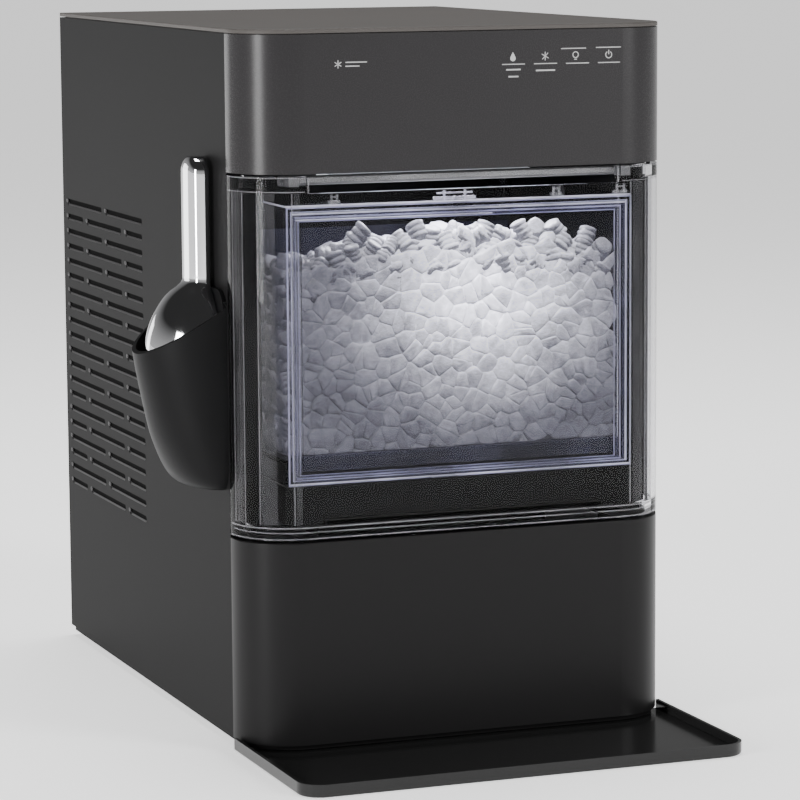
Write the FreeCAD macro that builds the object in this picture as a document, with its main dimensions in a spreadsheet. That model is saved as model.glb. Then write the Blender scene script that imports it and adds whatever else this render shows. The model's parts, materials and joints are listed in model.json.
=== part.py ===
"""A countertop nugget ice maker: cabinet, ice drawer, scoop, drip tray and the machinery inside.

The model is written in a cabinet frame: X across the front, Y from the front plane to the rear,
Z up from the counter. Every finished sub-part is then placed in the part's own frame, whose
origin is the bottom centre of the whole object's box, by the two shift cells of the sheet.
"""
import FreeCAD, Part
import Sketcher
import math
import os
from FreeCAD import Placement, Rotation, Vector

doc = FreeCAD.newDocument("IceMaker")
sheet = doc.addObject("Spreadsheet::Sheet", "Sizes")

SIZES = {
    # cabinet
    "cab_w": 267.0, "cab_h": 419.0, "cab_d": 389.0, "corner": 35.0, "seam_y": 37.0,
    "steel": 1.0, "plastic": 2.2, "top_t": 2.4, "top_gap": 0.6, "side_z": 7.0,
    "upper_z": 337.0, "lower_z": 6.0, "lower_top": 125.0, "pan_z": 3.2, "pan_inset": 2.4,
    "foot_rad": 13.0, "stem_rad": 4.0, "foot_x": 105.0, "foot_front": 60.0, "foot_rear": 355.0,
    # louvres in the side panels
    "slot_rad": 2.1, "slot_pitch": 19.66, "slot_row": 9.83, "slot_top": 294.6,
    "slot_front": 207.0, "slot_rear": 378.0, "slot_gap": 9.6, "slot_rows": 10,
    # ice bay and drawer
    "bay_x": 113.0, "bay_y": 203.0, "bay_z": 130.0, "bay_top": 334.0, "bay_wall": 3.0,
    "win_z": 126.6, "win_top": 335.6, "win_wall": 3.0, "band": 7.5, "band_t": 6.5,
    "notch_x": 96.0, "notch_z": 326.0, "grip_y": 15.0,
    "bin_x": 107.5, "bin_y": 8.0, "bin_d": 186.0, "bin_z": 157.0, "bin_top": 318.0,
    "bin_wall": 3.0, "bin_frame": 9.0, "bin_step": 2.4, "bin_floor": 168.0, "bin_corner": 8.0,
    "shelf_x": 108.6, "shelf_y": 6.5, "shelf_z": 134.5, "shelf_top": 156.6, "shelf_wall": 2.6,
    "rail_z": 141.0, "rail_h": 6.0,
    # drip tray
    "tray_x": 136.0, "tray_front": 97.0, "tray_rear": 28.0, "tray_rim": 7.6, "tray_wall": 1.9,
    "tray_corner": 14.0, "tray_floor": 2.2,
    # scoop and its holder
    "hold_y": 78.0, "hold_half": 40.0, "hold_out": 44.0, "hold_z": 151.0, "hold_rim": 230.0,
    "hold_back": 259.0, "hold_top": 268.7, "hold_wall": 2.4, "scoop_out": 33.0, "scoop_half": 31.5,
    "scoop_wall": 1.6, "scoop_z": 228.0, "scoop_nose": 157.0, "scoop_neck": 264.0, "scoop_x": 138.0,
    "grip_w": 26.0, "grip_t": 11.0, "grip_top": 344.0,
    # water side
    "tank_x": 112.0, "tank_y": 14.0, "tank_d": 190.0, "tank_z": 14.0, "tank_h": 104.0,
    "tank_wall": 2.0, "float_x": 88.0, "float_y": 180.0, "float_z": 62.0,
    # refrigeration side
    "comp_x": -30.0, "comp_y": 310.0, "comp_rad": 50.0, "comp_z": 24.0, "comp_h": 116.0,
    "fan_y": 297.0, "fan_z": 215.0, "fan_rad": 54.0, "fan_x": -98.3,
    "cond_x": -132.3, "cond_t": 22.0, "cond_y": 225.0, "cond_d": 146.0, "cond_z": 120.0,
    "cond_h": 170.0,
    # auger and its drive
    "aug_x": 62.0, "aug_y": 290.0, "barrel_in": 20.0, "barrel_out": 23.0, "barrel_z": 188.0,
    "barrel_h": 170.0, "shaft_rad": 7.0, "flight_rad": 19.4, "flight_pitch": 24.0,
    "gear_teeth": 40, "pinion_teeth": 10, "gear_mod": 1.5, "gear_z": 150.0, "gear_h": 10.0,
    "running": 0.06,
    # rear fittings
    "gland_x": 100.0, "gland_z": 40.0, "cord_rad": 3.6, "plug_x": -90.0, "plug_z": 44.0,
    # where the cabinet frame's origin lies in the part's frame
    "shift_x": 20.75, "shift_y": -146.9,
}


def fill_sheet():
    """One row per driving size: its name, and its value as text under an alias."""
    for row, (name, value) in enumerate(SIZES.items(), start=1):
        sheet.set(f"A{row}", name)
        sheet.set(f"B{row}", str(value))
        sheet.setAlias(f"B{row}", name)
    doc.recompute()


fill_sheet()
finished = []


def size(name):
    """The value of one cell, for shapes that Part's own functions make."""
    return float(getattr(sheet, name))


def expression(text):
    """Writes an expression in short cell names as one that FreeCAD reads."""
    words = []
    word = ""
    for letter in text + " ":
        if letter.isalnum() or letter == "_":
            word += letter
            continue
        words.append(f"Sizes.{word}" if word in SIZES else word)
        words.append(letter)
        word = ""
    return "".join(words).strip()


def bind(item, **properties):
    """Binds properties of an object to cells. x, y and z stand for its place."""
    for name, text in properties.items():
        path = f"Placement.Base.{name}" if name in ("x", "y", "z") else name
        item.setExpression(path, expression(str(text)))
    return item


def sub_part(item, label, x="0", y="0", z="0"):
    """Names a finished sub-part and places it in the part's own frame."""
    if item.TypeId in ("Part::Box", "Part::Cylinder"):
        item = group(item.Name + "_alone", item)
    item.Label = label
    bind(item, x=f"shift_x + ({x})", y=f"shift_y + ({y})", z=z)
    finished.append(item)
    return item


def box(name, x, y, z, length, width, height):
    """A box from its lowest corner, each size an expression."""
    solid = doc.addObject("Part::Box", name)
    return bind(solid, x=x, y=y, z=z, Length=length, Width=width, Height=height)


def cylinder(name, x, y, z, radius, height, axis="Z"):
    """A cylinder that starts at a point and runs along +X, +Y or +Z."""
    solid = doc.addObject("Part::Cylinder", name)
    turn = {"Z": Rotation(), "X": Rotation(Vector(0, 1, 0), 90), "Y": Rotation(Vector(1, 0, 0), -90)}
    solid.Placement = Placement(Vector(), turn[axis])
    return bind(solid, x=x, y=y, z=z, Radius=radius, Height=height)


def cut(name, base, *tools):
    """The base less one tool, or less several fused."""
    tool = tools[0] if len(tools) == 1 else fuse(name + "_tools", *tools)
    result = doc.addObject("Part::Cut", name)
    result.Base = base
    result.Tool = tool
    return result


def fuse(name, *shapes):
    """Several shapes made one."""
    result = doc.addObject("Part::MultiFuse", name)
    result.Shapes = list(shapes)
    result.Refine = True
    return result


def common(name, *shapes):
    """What several shapes share, taken two at a time."""
    shared = shapes[0]
    for number, shape in enumerate(shapes[1:]):
        result = doc.addObject("Part::Common", f"{name}_{number}")
        result.Base = shared
        result.Tool = shape
        shared = result
    return shared


def group(name, *shapes):
    """Separate solids that are one node."""
    result = doc.addObject("Part::Compound", name)
    result.Links = list(shapes)
    return result


def fillet(name, base, radius, wanted):
    """Rounds the edges of the base whose middle and direction pass the test."""
    doc.recompute()
    value = size(radius) if isinstance(radius, str) else radius
    edges = []
    for number, edge in enumerate(base.Shape.Edges, start=1):
        middle = edge.valueAt((edge.FirstParameter + edge.LastParameter) / 2)
        along = edge.tangentAt((edge.FirstParameter + edge.LastParameter) / 2)
        if wanted(middle, along):
            edges.append((number, value, value))
    result = doc.addObject("Part::Fillet", name)
    result.Base = base
    result.Edges = edges
    return result


def value_of(text):
    """The number that an expression in cell names gives, read through a spare cell of the sheet."""
    sheet.set("D1", "=" + expression(str(text)).replace("Sizes.", ""))
    sheet.recompute()
    return float(sheet.get("D1"))


def upright(along):
    """Whether an edge runs along Z."""
    return abs(along.z) > 0.99


def front_block(name, inset, z, height, depth="seam_y"):
    """The rounded front of the cabinet's plan, from the front plane back to a depth."""
    block = box(name + "_box", f"-cab_w / 2 + {inset}", inset, z, f"cab_w - 2 * ({inset})",
                f"{depth} - ({inset})", height)
    doc.recompute()
    radius = size("corner") - value_of(inset)
    front = value_of(inset)
    return fillet(name, block, radius, lambda middle, along: upright(along) and abs(middle.y - front) < 0.1)


# ---------------------------------------------------------------- sketches

def plane(body, role):
    """One of a body's own origin planes."""
    return next(item for item in body.Origin.OriginFeatures if item.Role == role)


def new_body(name):
    """An empty PartDesign body."""
    return doc.addObject("PartDesign::Body", name)


def new_sketch(body, name, role, offset="0"):
    """A sketch on an origin plane of its body, moved along the plane's normal by an offset."""
    sketch = body.newObject("Sketcher::SketchObject", name)
    sketch.AttachmentSupport = (plane(body, role), [""])
    sketch.MapMode = "FlatFace"
    sketch.setExpression("AttachmentOffset.Base.z", expression(offset))
    return sketch


def dimension(sketch, kind, *where, to):
    """Adds one dimension to a sketch and binds it to an expression."""
    number = sketch.addConstraint(Sketcher.Constraint(kind, *where, value_of(to)))
    sketch.setExpression(f"Constraints[{number}]", expression(to))


def rectangle(sketch, left, bottom, width, height):
    """A dimensioned rectangle from its lower left corner."""
    x0, y0 = value_of(left), value_of(bottom)
    x1, y1 = x0 + value_of(width), y0 + value_of(height)
    corners = [Vector(x0, y0), Vector(x1, y0), Vector(x1, y1), Vector(x0, y1)]
    first = sketch.GeometryCount
    for number in range(4):
        sketch.addGeometry(Part.LineSegment(corners[number], corners[(number + 1) % 4]), False)
    for number in range(4):
        sketch.addConstraint(Sketcher.Constraint("Coincident", first + number, 2, first + (number + 1) % 4, 1))
    for number in (0, 2):
        sketch.addConstraint(Sketcher.Constraint("Horizontal", first + number))
        sketch.addConstraint(Sketcher.Constraint("Vertical", first + number + 1))
    dimension(sketch, "DistanceX", -1, 1, first, 1, to=left)
    dimension(sketch, "DistanceY", -1, 1, first, 1, to=bottom)
    dimension(sketch, "DistanceX", first, 1, first, 2, to=width)
    dimension(sketch, "DistanceY", first + 1, 1, first + 1, 2, to=height)


def circle(sketch, x, y, radius):
    """A dimensioned circle."""
    centre = Vector(value_of(x), value_of(y))
    number = sketch.addGeometry(Part.Circle(centre, Vector(0, 0, 1), value_of(radius)))
    dimension(sketch, "DistanceX", -1, 1, number, 3, to=x)
    dimension(sketch, "DistanceY", -1, 1, number, 3, to=y)
    dimension(sketch, "Radius", number, to=radius)


def slot(sketch, start, end, height, radius):
    """A dimensioned slot with round ends, from start to end along the sketch's X."""
    x0, x1 = value_of(f"{start} + {radius}"), value_of(f"{end} - {radius}")
    between = f"({end}) - ({start}) - 2 * {radius}"
    y, r = value_of(height), value_of(radius)
    up = Vector(0, 0, 1)
    first = sketch.GeometryCount
    sketch.addGeometry(Part.ArcOfCircle(Part.Circle(Vector(x0, y), up, r), math.pi / 2, 3 * math.pi / 2))
    sketch.addGeometry(Part.LineSegment(Vector(x0, y - r), Vector(x1, y - r)))
    sketch.addGeometry(Part.ArcOfCircle(Part.Circle(Vector(x1, y), up, r), -math.pi / 2, math.pi / 2))
    sketch.addGeometry(Part.LineSegment(Vector(x1, y + r), Vector(x0, y + r)))
    joints = [(0, 2, 1, 1), (1, 2, 2, 1), (2, 2, 3, 1), (3, 2, 0, 1)]
    for a, a_end, b, b_end in joints:
        sketch.addConstraint(Sketcher.Constraint("Tangent", first + a, a_end, first + b, b_end))
    sketch.addConstraint(Sketcher.Constraint("Horizontal", first + 1))
    dimension(sketch, "Radius", first, to=radius)
    dimension(sketch, "DistanceX", -1, 1, first, 3, to=f"{start} + {radius}")
    dimension(sketch, "DistanceY", -1, 1, first, 3, to=height)
    dimension(sketch, "DistanceX", first, 3, first + 2, 3, to=between)


def pad(body, name, sketch, length, reverse=False):
    """A pad of a sketch."""
    feature = body.newObject("PartDesign::Pad", name)
    feature.Profile = sketch
    feature.Reversed = reverse
    bind(feature, Length=length)
    return feature


def pocket(body, name, sketch, length, reverse=False):
    """A pocket that is checked to take material away."""
    doc.recompute()
    before = body.Shape.Volume
    feature = body.newObject("PartDesign::Pocket", name)
    feature.Profile = sketch
    feature.Reversed = reverse
    bind(feature, Length=length)
    doc.recompute()
    if body.Shape.Volume >= before - 1e-6:
        raise RuntimeError(f"pocket {name} cuts nothing")
    return feature


def polar(body, name, feature, count, axis_role="Z_Axis"):
    """Repeats a feature round an origin axis of its body."""
    pattern = body.newObject("PartDesign::PolarPattern", name)
    pattern.Originals = [feature]
    pattern.Axis = (plane(body, axis_role), [""])
    pattern.Angle = 360
    bind(pattern, Occurrences=count)
    body.Tip = pattern
    return pattern


def tube(name, points, radius, inner=0.0):
    """A tube along straight runs joined by tangent arcs, as large as the runs beside each allow."""
    edges = []
    start = Vector(*points[0])
    for before, corner, after in zip(points, points[1:], points[2:]):
        a, b, c = Vector(*before), Vector(*corner), Vector(*after)
        inward, outward = (b - a).normalize(), (c - b).normalize()
        turn = inward.getAngle(outward)
        reach = 0.45 * min((b - a).Length, (c - b).Length)
        bend = reach / math.tan(turn / 2)
        enter, leave = b - inward * reach, b + outward * reach
        centre_line = (outward - inward).normalize()
        middle = b + centre_line * (bend / math.cos(turn / 2) - bend)
        edges.append(Part.LineSegment(start, enter).toShape())
        edges.append(Part.Arc(enter, middle, leave).toShape())
        start = leave
    edges.append(Part.LineSegment(start, Vector(*points[-1])).toShape())
    path = Part.Wire(edges)
    first = Vector(*points[1]) - Vector(*points[0])

    def swept(width):
        ring = Part.Wire(Part.Circle(Vector(*points[0]), first, width).toShape())
        return path.makePipeShell([ring], True, False)

    solid = swept(radius)
    if abs(solid.Volume - math.pi * radius ** 2 * path.Length) > 0.02 * solid.Volume:
        raise RuntimeError(f"{name}: the tube's volume is not its section times its length")
    if inner:
        solid = solid.cut(swept(inner))
    feature = doc.addObject("Part::Feature", name)
    feature.Shape = solid
    return feature


# ---------------------------------------------------------------- cabinet

def base_pan():
    """Pressed steel floor with an upstand, holes for the feet and rounded front corners."""
    outer = front_block("pan_outer", "pan_inset", "pan_z", "11", "cab_d - 1.2")
    inner = front_block("pan_inner", "pan_inset + 1.4", "pan_z + 1.4", "11", "cab_d - 2.6")
    holes = [cylinder(f"pan_hole_{i}", x, y, "pan_z - 1", "stem_rad + 0.2", "5")
             for i, (x, y) in enumerate(foot_places())]
    sub_part(cut("pan", outer, inner, *holes), "base_pan")


def foot_places():
    """Where the four feet stand."""
    return [(x, y) for x in ("-foot_x", "foot_x") for y in ("foot_front", "foot_rear")]


def feet():
    """Four turned rubber feet, each with a stem that presses through the pan."""
    made = []
    for number, (x, y) in enumerate(foot_places()):
        disc = cylinder(f"foot_disc_{number}", x, y, "0", "foot_rad", "pan_z")
        disc_round = fillet(f"foot_round_{number}", disc, 0.8, lambda middle, along: middle.z < 0.1)
        stem = cylinder(f"foot_stem_{number}", x, y, "pan_z - 0.5", "stem_rad", "6")
        made.append(fuse(f"foot_{number}", disc_round, stem))
    sub_part(group("feet", *made), "rubber_feet")


def side_panel(side):
    """A folded steel side: a flat sheet, inturned front and rear flanges, and a field of louvres."""
    body = new_body(f"{side}_side")
    outer = "-cab_w / 2" if side == "left" else "cab_w / 2 - steel"
    height = "cab_h - top_t - top_gap - side_z"
    sheet_sketch = new_sketch(body, f"{side}_sheet_sketch", "YZ_Plane", outer)
    rectangle(sheet_sketch, "seam_y", "side_z", "cab_d - seam_y", height)
    pad(body, f"{side}_sheet", sheet_sketch, "steel")
    flange_sketch = new_sketch(body, f"{side}_flange_sketch", "XY_Plane", "pan_z + 11.4")
    flange_x = "-cab_w / 2" if side == "left" else "cab_w / 2 - 12"
    rectangle(flange_sketch, flange_x, "cab_d - steel - 1.2", "12", "steel")
    pad(body, f"{side}_flange", flange_sketch, "cab_h - top_t - top_gap - pan_z - 11.4")
    long_rows = new_sketch(body, f"{side}_long_sketch", "YZ_Plane", outer)
    middle = "(slot_front + slot_rear) / 2"
    slot(long_rows, "slot_front", f"{middle} - slot_gap / 2", "slot_top", "slot_rad")
    slot(long_rows, f"{middle} + slot_gap / 2", "slot_rear", "slot_top", "slot_rad")
    short_rows = new_sketch(body, f"{side}_short_sketch", "YZ_Plane", outer)
    slot(short_rows, "slot_front", "slot_front + 36.5", "slot_top - slot_row", "slot_rad")
    slot(short_rows, "slot_front + 46.2", "slot_rear - 46.2", "slot_top - slot_row", "slot_rad")
    slot(short_rows, "slot_rear - 36.5", "slot_rear", "slot_top - slot_row", "slot_rad")
    cuts = [pocket(body, f"{side}_long_slots", long_rows, "steel", True),
            pocket(body, f"{side}_short_slots", short_rows, "steel", True)]
    rows = body.newObject("PartDesign::LinearPattern", f"{side}_louvres")
    rows.Originals = cuts
    rows.Direction = (plane(body, "Z_Axis"), [""])
    rows.Reversed = True
    bind(rows, Length="slot_pitch * (slot_rows - 1)", Occurrences="slot_rows")
    body.Tip = rows
    sub_part(body, f"{side}_side_panel")


REAR_SCREWS = [(x, z) for x in ("-118", "118") for z in ("30", "150", "270", "400")]


def rear_panel():
    """Flat steel back with screw holes, an air grille, the cord gland's hole and the drain recess."""
    body = new_body("rear")
    sheet_sketch = new_sketch(body, "rear_sheet_sketch", "XZ_Plane", "-cab_d")
    rectangle(sheet_sketch, "-cab_w / 2 + 1.2", "side_z", "cab_w - 2.4", "cab_h - top_t - top_gap - side_z")
    pad(body, "rear_sheet", sheet_sketch, "steel")
    holes = new_sketch(body, "rear_holes_sketch", "XZ_Plane", "-cab_d")
    for x, z in REAR_SCREWS:
        circle(holes, x, z, "1.7")
    circle(holes, "gland_x", "gland_z", "8.2")
    rectangle(holes, "plug_x - 14", "plug_z - 12", "40.8", "24")
    pocket(body, "rear_holes", holes, "steel", True)
    grille = new_sketch(body, "rear_grille_sketch", "XZ_Plane", "-cab_d")
    slot(grille, "-70", "-5", "230", "slot_rad")
    slot(grille, "5", "70", "230", "slot_rad")
    cuts = pocket(body, "rear_grille", grille, "steel", True)
    rows = body.newObject("PartDesign::LinearPattern", "rear_grille_rows")
    rows.Originals = [cuts]
    rows.Direction = (plane(body, "Z_Axis"), [""])
    bind(rows, Length="slot_row * 9", Occurrences="10")
    body.Tip = rows
    sub_part(body, "rear_panel")


def rear_screws():
    """Pan-head screws that hold the back to the side flanges."""
    made = []
    for number, (x, z) in enumerate(REAR_SCREWS):
        head = cylinder(f"screw_head_{number}", x, "cab_d", z, "3.2", "1.6", "Y")
        shank = cylinder(f"screw_shank_{number}", x, "cab_d - 5", z, "1.6", "5.5", "Y")
        made.append(fuse(f"rear_screw_{number}", head, shank))
    sub_part(group("rear_screw_set", *made), "rear_screws")


def top_cover():
    """Flat lid over the whole plan, with a locating skirt inside the panels."""
    plate = front_block("top_plate", "0", "cab_h - top_t", "top_t", "cab_d")
    edge = fillet("top_plate_edge", plate, 0.7, lambda middle, along: abs(middle.z - size("cab_h")) < 0.01)
    skirt = front_block("top_skirt", "plastic + 0.6", "cab_h - top_t - 8", "9", "cab_d - 4")
    hollow = front_block("top_hollow", "plastic + 2.2", "cab_h - top_t - 9", "9", "cab_d - 6")
    sub_part(fuse("top", edge, cut("top_skirt_ring", skirt, hollow)), "top_cover")


def front_shell(label, z, height, floor_z):
    """One of the two rounded front housings: a wall, and a floor or ceiling across it."""
    outer = front_block(label + "_outer", "0", z, height)
    hollow = front_block(label + "_hollow", "plastic", floor_z, height, "seam_y + 5")
    return cut(label + "_shell", outer, hollow)


def front_housings():
    """The control housing above the drawer and the plain housing below it."""
    upper = front_shell("upper", "upper_z", "cab_h - top_t - top_gap - upper_z", "upper_z + 2")
    sub_part(upper, "upper_front_housing")
    lower = front_shell("lower", "lower_z", "lower_top - lower_z", "lower_z - 5")
    top = size("lower_top")
    rounded = fillet("lower_edge", lower, 0.8, lambda middle, along: abs(middle.z - top) < 0.01 and middle.y < 30)
    hatch = box("lower_hatch", "-99", "plastic + 8", "lower_z", "198", "40", "200")
    sub_part(cut("lower_open", rounded, hatch), "lower_front_housing")


# ---------------------------------------------------------------- controls

def controls():
    """The touch board behind the fascia, the display's light guide and the main board."""
    sub_part(box("touch_board_plate", "-100", "4", "350", "205", "1.6", "58"), "touch_board")
    guide = box("guide_bar", "-84", "plastic", "392", "30", "1.6", "14")
    sub_part(guide, "status_light_guide")
    board = box("board_plate", "-105", "60", "352", "110", "130", "1.6")
    parts = [board]
    parts.append(box("board_relay_a", "-98", "70", "353.6", "20", "16", "18"))
    parts.append(box("board_relay_b", "-98", "95", "353.6", "20", "16", "18"))
    parts.append(cylinder("board_capacitor", "-50", "85", "353.6", "9", "26"))
    parts.append(box("board_transformer", "-60", "125", "353.6", "36", "32", "26"))
    parts += [cylinder(f"board_post_{x}_{y}".replace("-", "m"), x, y, "bay_top + bay_wall", "4", "15.5")
              for x in ("-100", "0") for y in ("65", "185")]
    sub_part(fuse("board", *parts), "main_control_board")


# ---------------------------------------------------------------- ice bay

def bay_liner():
    """Moulded box that the drawer slides into: open in front, with a fill opening in its floor."""
    wall = "bay_wall"
    outer = box("bay_outer", f"-bay_x - {wall}", "seam_y + 1", f"bay_z - {wall}", f"2 * (bay_x + {wall})",
                f"bay_y + {wall} - seam_y - 1", f"bay_top - bay_z + 2 * {wall}")
    inner = box("bay_inner", "-bay_x", "seam_y", "bay_z", "2 * bay_x", "bay_y - seam_y", "bay_top - bay_z")
    flange = box("bay_flange", "-cab_w / 2 + 2", "seam_y + 1", f"bay_z - {wall}", "cab_w - 4", "3",
                 f"bay_top - bay_z + 2 * {wall}")
    fill = box("bay_fill", "-70", "60", "bay_z - 20", "140", "90", "40")
    collar = box("bay_collar", "-73", "57", "bay_z - 12", "146", "96", "11")
    chute_hole = box("bay_chute_hole", "aug_x - 24", "156", "bay_top - 5", "48", "40", "20")
    shell = fuse("bay_shell", outer, flange, collar)
    rail_w, rail_d = "bay_x - shelf_x - 1", "bay_y - seam_y - 5"
    rails = [box(f"rail_{side}", x, "seam_y + 6", "rail_z", rail_w, rail_d, "rail_h")
             for side, x in (("left", "-bay_x"), ("right", "shelf_x + 1"))]
    sub_part(fuse("bay", cut("bay_open", shell, inner, fill, chute_hole), *rails), "ice_bay_liner")


def bay_fittings():
    """What is fixed inside the bay: the lamp and its lens, and the ice-level sensors."""
    sub_part(box("lamp_strip", "-62", "56", "bay_top - 2.4", "124", "14", "2.4"), "led_strip")
    lens = box("lens_bar", "-66", "53", "bay_top - 6.4", "132", "20", "4")
    sub_part(lens, "led_lens")
    sensors = [cylinder(f"sensor_{side}", x, "120", "312", "4", "4.4", "X")
               for side, x in (("left", "-bay_x"), ("right", "bay_x - 4.4"))]
    sub_part(group("sensor_pair", *sensors), "ice_level_sensors")


# ---------------------------------------------------------------- drawer

def drawer_window():
    """Clear rounded front of the drawer, with thick rims and a finger notch in its top."""
    height = "win_top - win_z"
    outer = front_block("win_outer", "0", "win_z", height, "seam_y - 0.5")
    hollow = front_block("win_hollow", "win_wall", "win_z - 5", f"{height} + 10", "seam_y + 5")
    wall = cut("win_wall_shell", outer, hollow)
    low = front_block("win_low", "0.4", "win_z", "band", "seam_y - 0.5")
    high = front_block("win_high", "0.4", "win_top - band", "band", "seam_y - 0.5")
    core = front_block("win_core", "band_t", "win_z - 5", f"{height} + 10", "seam_y + 5")
    bands = cut("win_bands", fuse("win_band_pair", low, high), core)
    edges = [box(f"win_edge_{side}", x, "seam_y - 6", "win_z", "band_t - 1", "5.5", height)
             for side, x in (("left", "-cab_w / 2 + 1"), ("right", "cab_w / 2 - band_t"))]
    notch = box("win_notch", "-notch_x", "-1", "notch_z", "2 * notch_x", "12", "20")
    shell = fuse("win_shell", wall, bands, *edges)
    sub_part(cut("win", shell, notch), "drawer_window")


def drawer_shelf():
    """Black carrier under the bin, with a lip that meets the window, two runners and the grip bar."""
    height = "shelf_top - shelf_z"
    front = size("bin_y")
    block = box("shelf_block", "-shelf_x", "shelf_y", "shelf_z", "2 * shelf_x", "bin_d", height)
    rounded = fillet("shelf_round", block, 6.0, lambda middle, along: upright(along) and middle.y < front)
    hollow = box("shelf_hollow", "-shelf_x + shelf_wall", "shelf_y + shelf_wall", "shelf_z - 5",
                 "2 * (shelf_x - shelf_wall)", "bin_d - 2 * shelf_wall", f"{height} + 5 - shelf_wall")
    lip = box("shelf_lip", "-86", "win_wall", "shelf_z", "172", "shelf_y - win_wall + 1", "2.4")
    sub_part(fuse("shelf", cut("shelf_open", rounded, hollow), lip), "drawer_shelf")
    runners = [box(f"runner_{side}", x, "seam_y + 10", "rail_z + rail_h + 0.4", "3.4", "130", "3.2")
               for side, x in (("left", "-shelf_x - 3.4"), ("right", "shelf_x"))]
    sub_part(group("runner_pair", *runners), "drawer_runners")
    bar = box("grip_bar", "-notch_x - 12", "grip_y", "win_top - 6", "2 * notch_x + 24", "6", "5.4")
    rounded_bar = fillet("grip_round", bar, 2.0, lambda middle, along: abs(along.x) > 0.99)
    arms = [box(f"grip_arm_{side}", x, "band_t", "win_top - 6", "6", "grip_y - band_t + 3", "5.4")
            for side, x in (("left", "-notch_x - 10"), ("right", "notch_x + 4"))]
    sub_part(fuse("grip", rounded_bar, *arms), "drawer_grip_bar")


def ice_bin():
    """Clear bin: walls and a raised floor, and a stepped frame round its front pane."""
    def shell(name, inset, y, z, depth, height):
        block = box(name + "_box", f"-bin_x + {inset}", y, z, f"2 * (bin_x - {inset})", depth, height)
        radius = max(1.0, size("bin_corner") - value_of(inset))
        return fillet(name, block, radius, lambda middle, along: upright(along))

    outer = shell("bin_outer", "0", "bin_y", "bin_z", "bin_d", "bin_top - bin_z")
    inside = shell("bin_inside", "bin_wall", "bin_y + 2 * bin_step + bin_wall", "bin_floor + bin_wall",
                   "bin_d - 2 * bin_step - 2 * bin_wall", "bin_top - bin_floor")
    under = box("bin_under", "-bin_x + bin_wall", "bin_y + 2 * bin_step + bin_wall", "bin_z - 1",
                "2 * (bin_x - bin_wall)", "bin_d - 2 * bin_step - 2 * bin_wall", "bin_floor - bin_z + 1")
    steps = []
    for number in (1, 2):
        edge = f"bin_frame * {number} / 2 + 1"
        steps.append(box(f"bin_step_{number}", f"-bin_x + {edge}", f"bin_y - 1 + bin_step * {number - 1}",
                         f"bin_z + {edge}", f"2 * (bin_x - {edge})", "bin_step + 1",
                         f"bin_top - bin_z - 2 * ({edge})"))
    rear_dip = box("bin_rear_dip", "-bin_x + 16", "bin_y + bin_d - 6", "bin_top - 14", "2 * bin_x - 32",
                   "10", "20")
    sub_part(cut("bin", outer, inside, under, rear_dip, *steps), "ice_bin")


def drawer_gasket():
    """Soft seal on the back of the window's side edges, which meets the bay's flange."""
    strips = [box(f"gasket_{side}", x, "seam_y - 0.5", "win_z + 8", "3", "1.1", "win_top - win_z - 16")
              for side, x in (("left", "-cab_w / 2 + 3"), ("right", "cab_w / 2 - 6"))]
    sub_part(group("gasket_pair", *strips), "drawer_gasket")


# ---------------------------------------------------------------- drip tray, scoop

def drip_tray():
    """Shallow tray that slides under the front, open at the rear, with a thin raised rim."""
    def plan(name, inset, z, height):
        block = box(name + "_box", f"-tray_x + {inset}", f"-tray_front + {inset}", z,
                    f"2 * (tray_x - {inset})", f"tray_front + tray_rear - {inset}", height)
        doc.recompute()
        front = value_of(f"-tray_front + {inset}")
        return fillet(name, block, value_of(f"tray_corner - {inset}"),
                      lambda middle, along: upright(along) and abs(middle.y - front) < 0.01)

    outer = plan("tray_outer", "0", "0", "tray_rim")
    soft = fillet("tray_soft", outer, 1.6, lambda middle, along: middle.z < 0.01 and middle.y < 27)
    inner = plan("tray_inner", "tray_wall", "tray_floor", "tray_rim")
    sub_part(cut("tray", soft, inner), "drip_tray")


# height, reach from the panel and half-width of the holder's outside, from its bottom to above its rim
POUCH_LEVELS = (
    (151.0, 12.0, 29.0), (155.0, 21.2, 36.4), (160.0, 24.8, 38.8), (168.0, 28.8, 39.8),
    (180.0, 33.4, 40.0), (195.0, 37.2, 40.0), (212.0, 40.8, 40.0), (230.0, 44.0, 40.0), (262.0, 48.5, 40.0),
)


def pouch(name, inset):
    """The holder's form, lofted through ellipses about the panel's face, or the form inside its wall."""
    rings = []
    lowest = POUCH_LEVELS[0][0]
    for number, (height, reach, half) in enumerate(POUCH_LEVELS):
        ring = Part.makeCircle(1.0)
        stretch = FreeCAD.Matrix()
        stretch.scale(reach - inset, half - inset, 1.0)
        ring = ring.transformGeometry(stretch)
        lift = size("hold_z") + height - lowest + inset * (1 - number / (len(POUCH_LEVELS) - 1))
        ring.translate(Vector(-size("cab_w") / 2, size("hold_y"), lift))
        rings.append(Part.Wire(ring))
    feature = doc.addObject("Part::Feature", name + "_loft")
    feature.Shape = Part.makeLoft(rings, True)
    side = box(name + "_side", "-cab_w / 2 - hold_out - 8", "hold_y - 60", "hold_z - 5",
               f"hold_out + 8 - {inset}", "120", "150")
    return common(name, feature, side)


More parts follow.
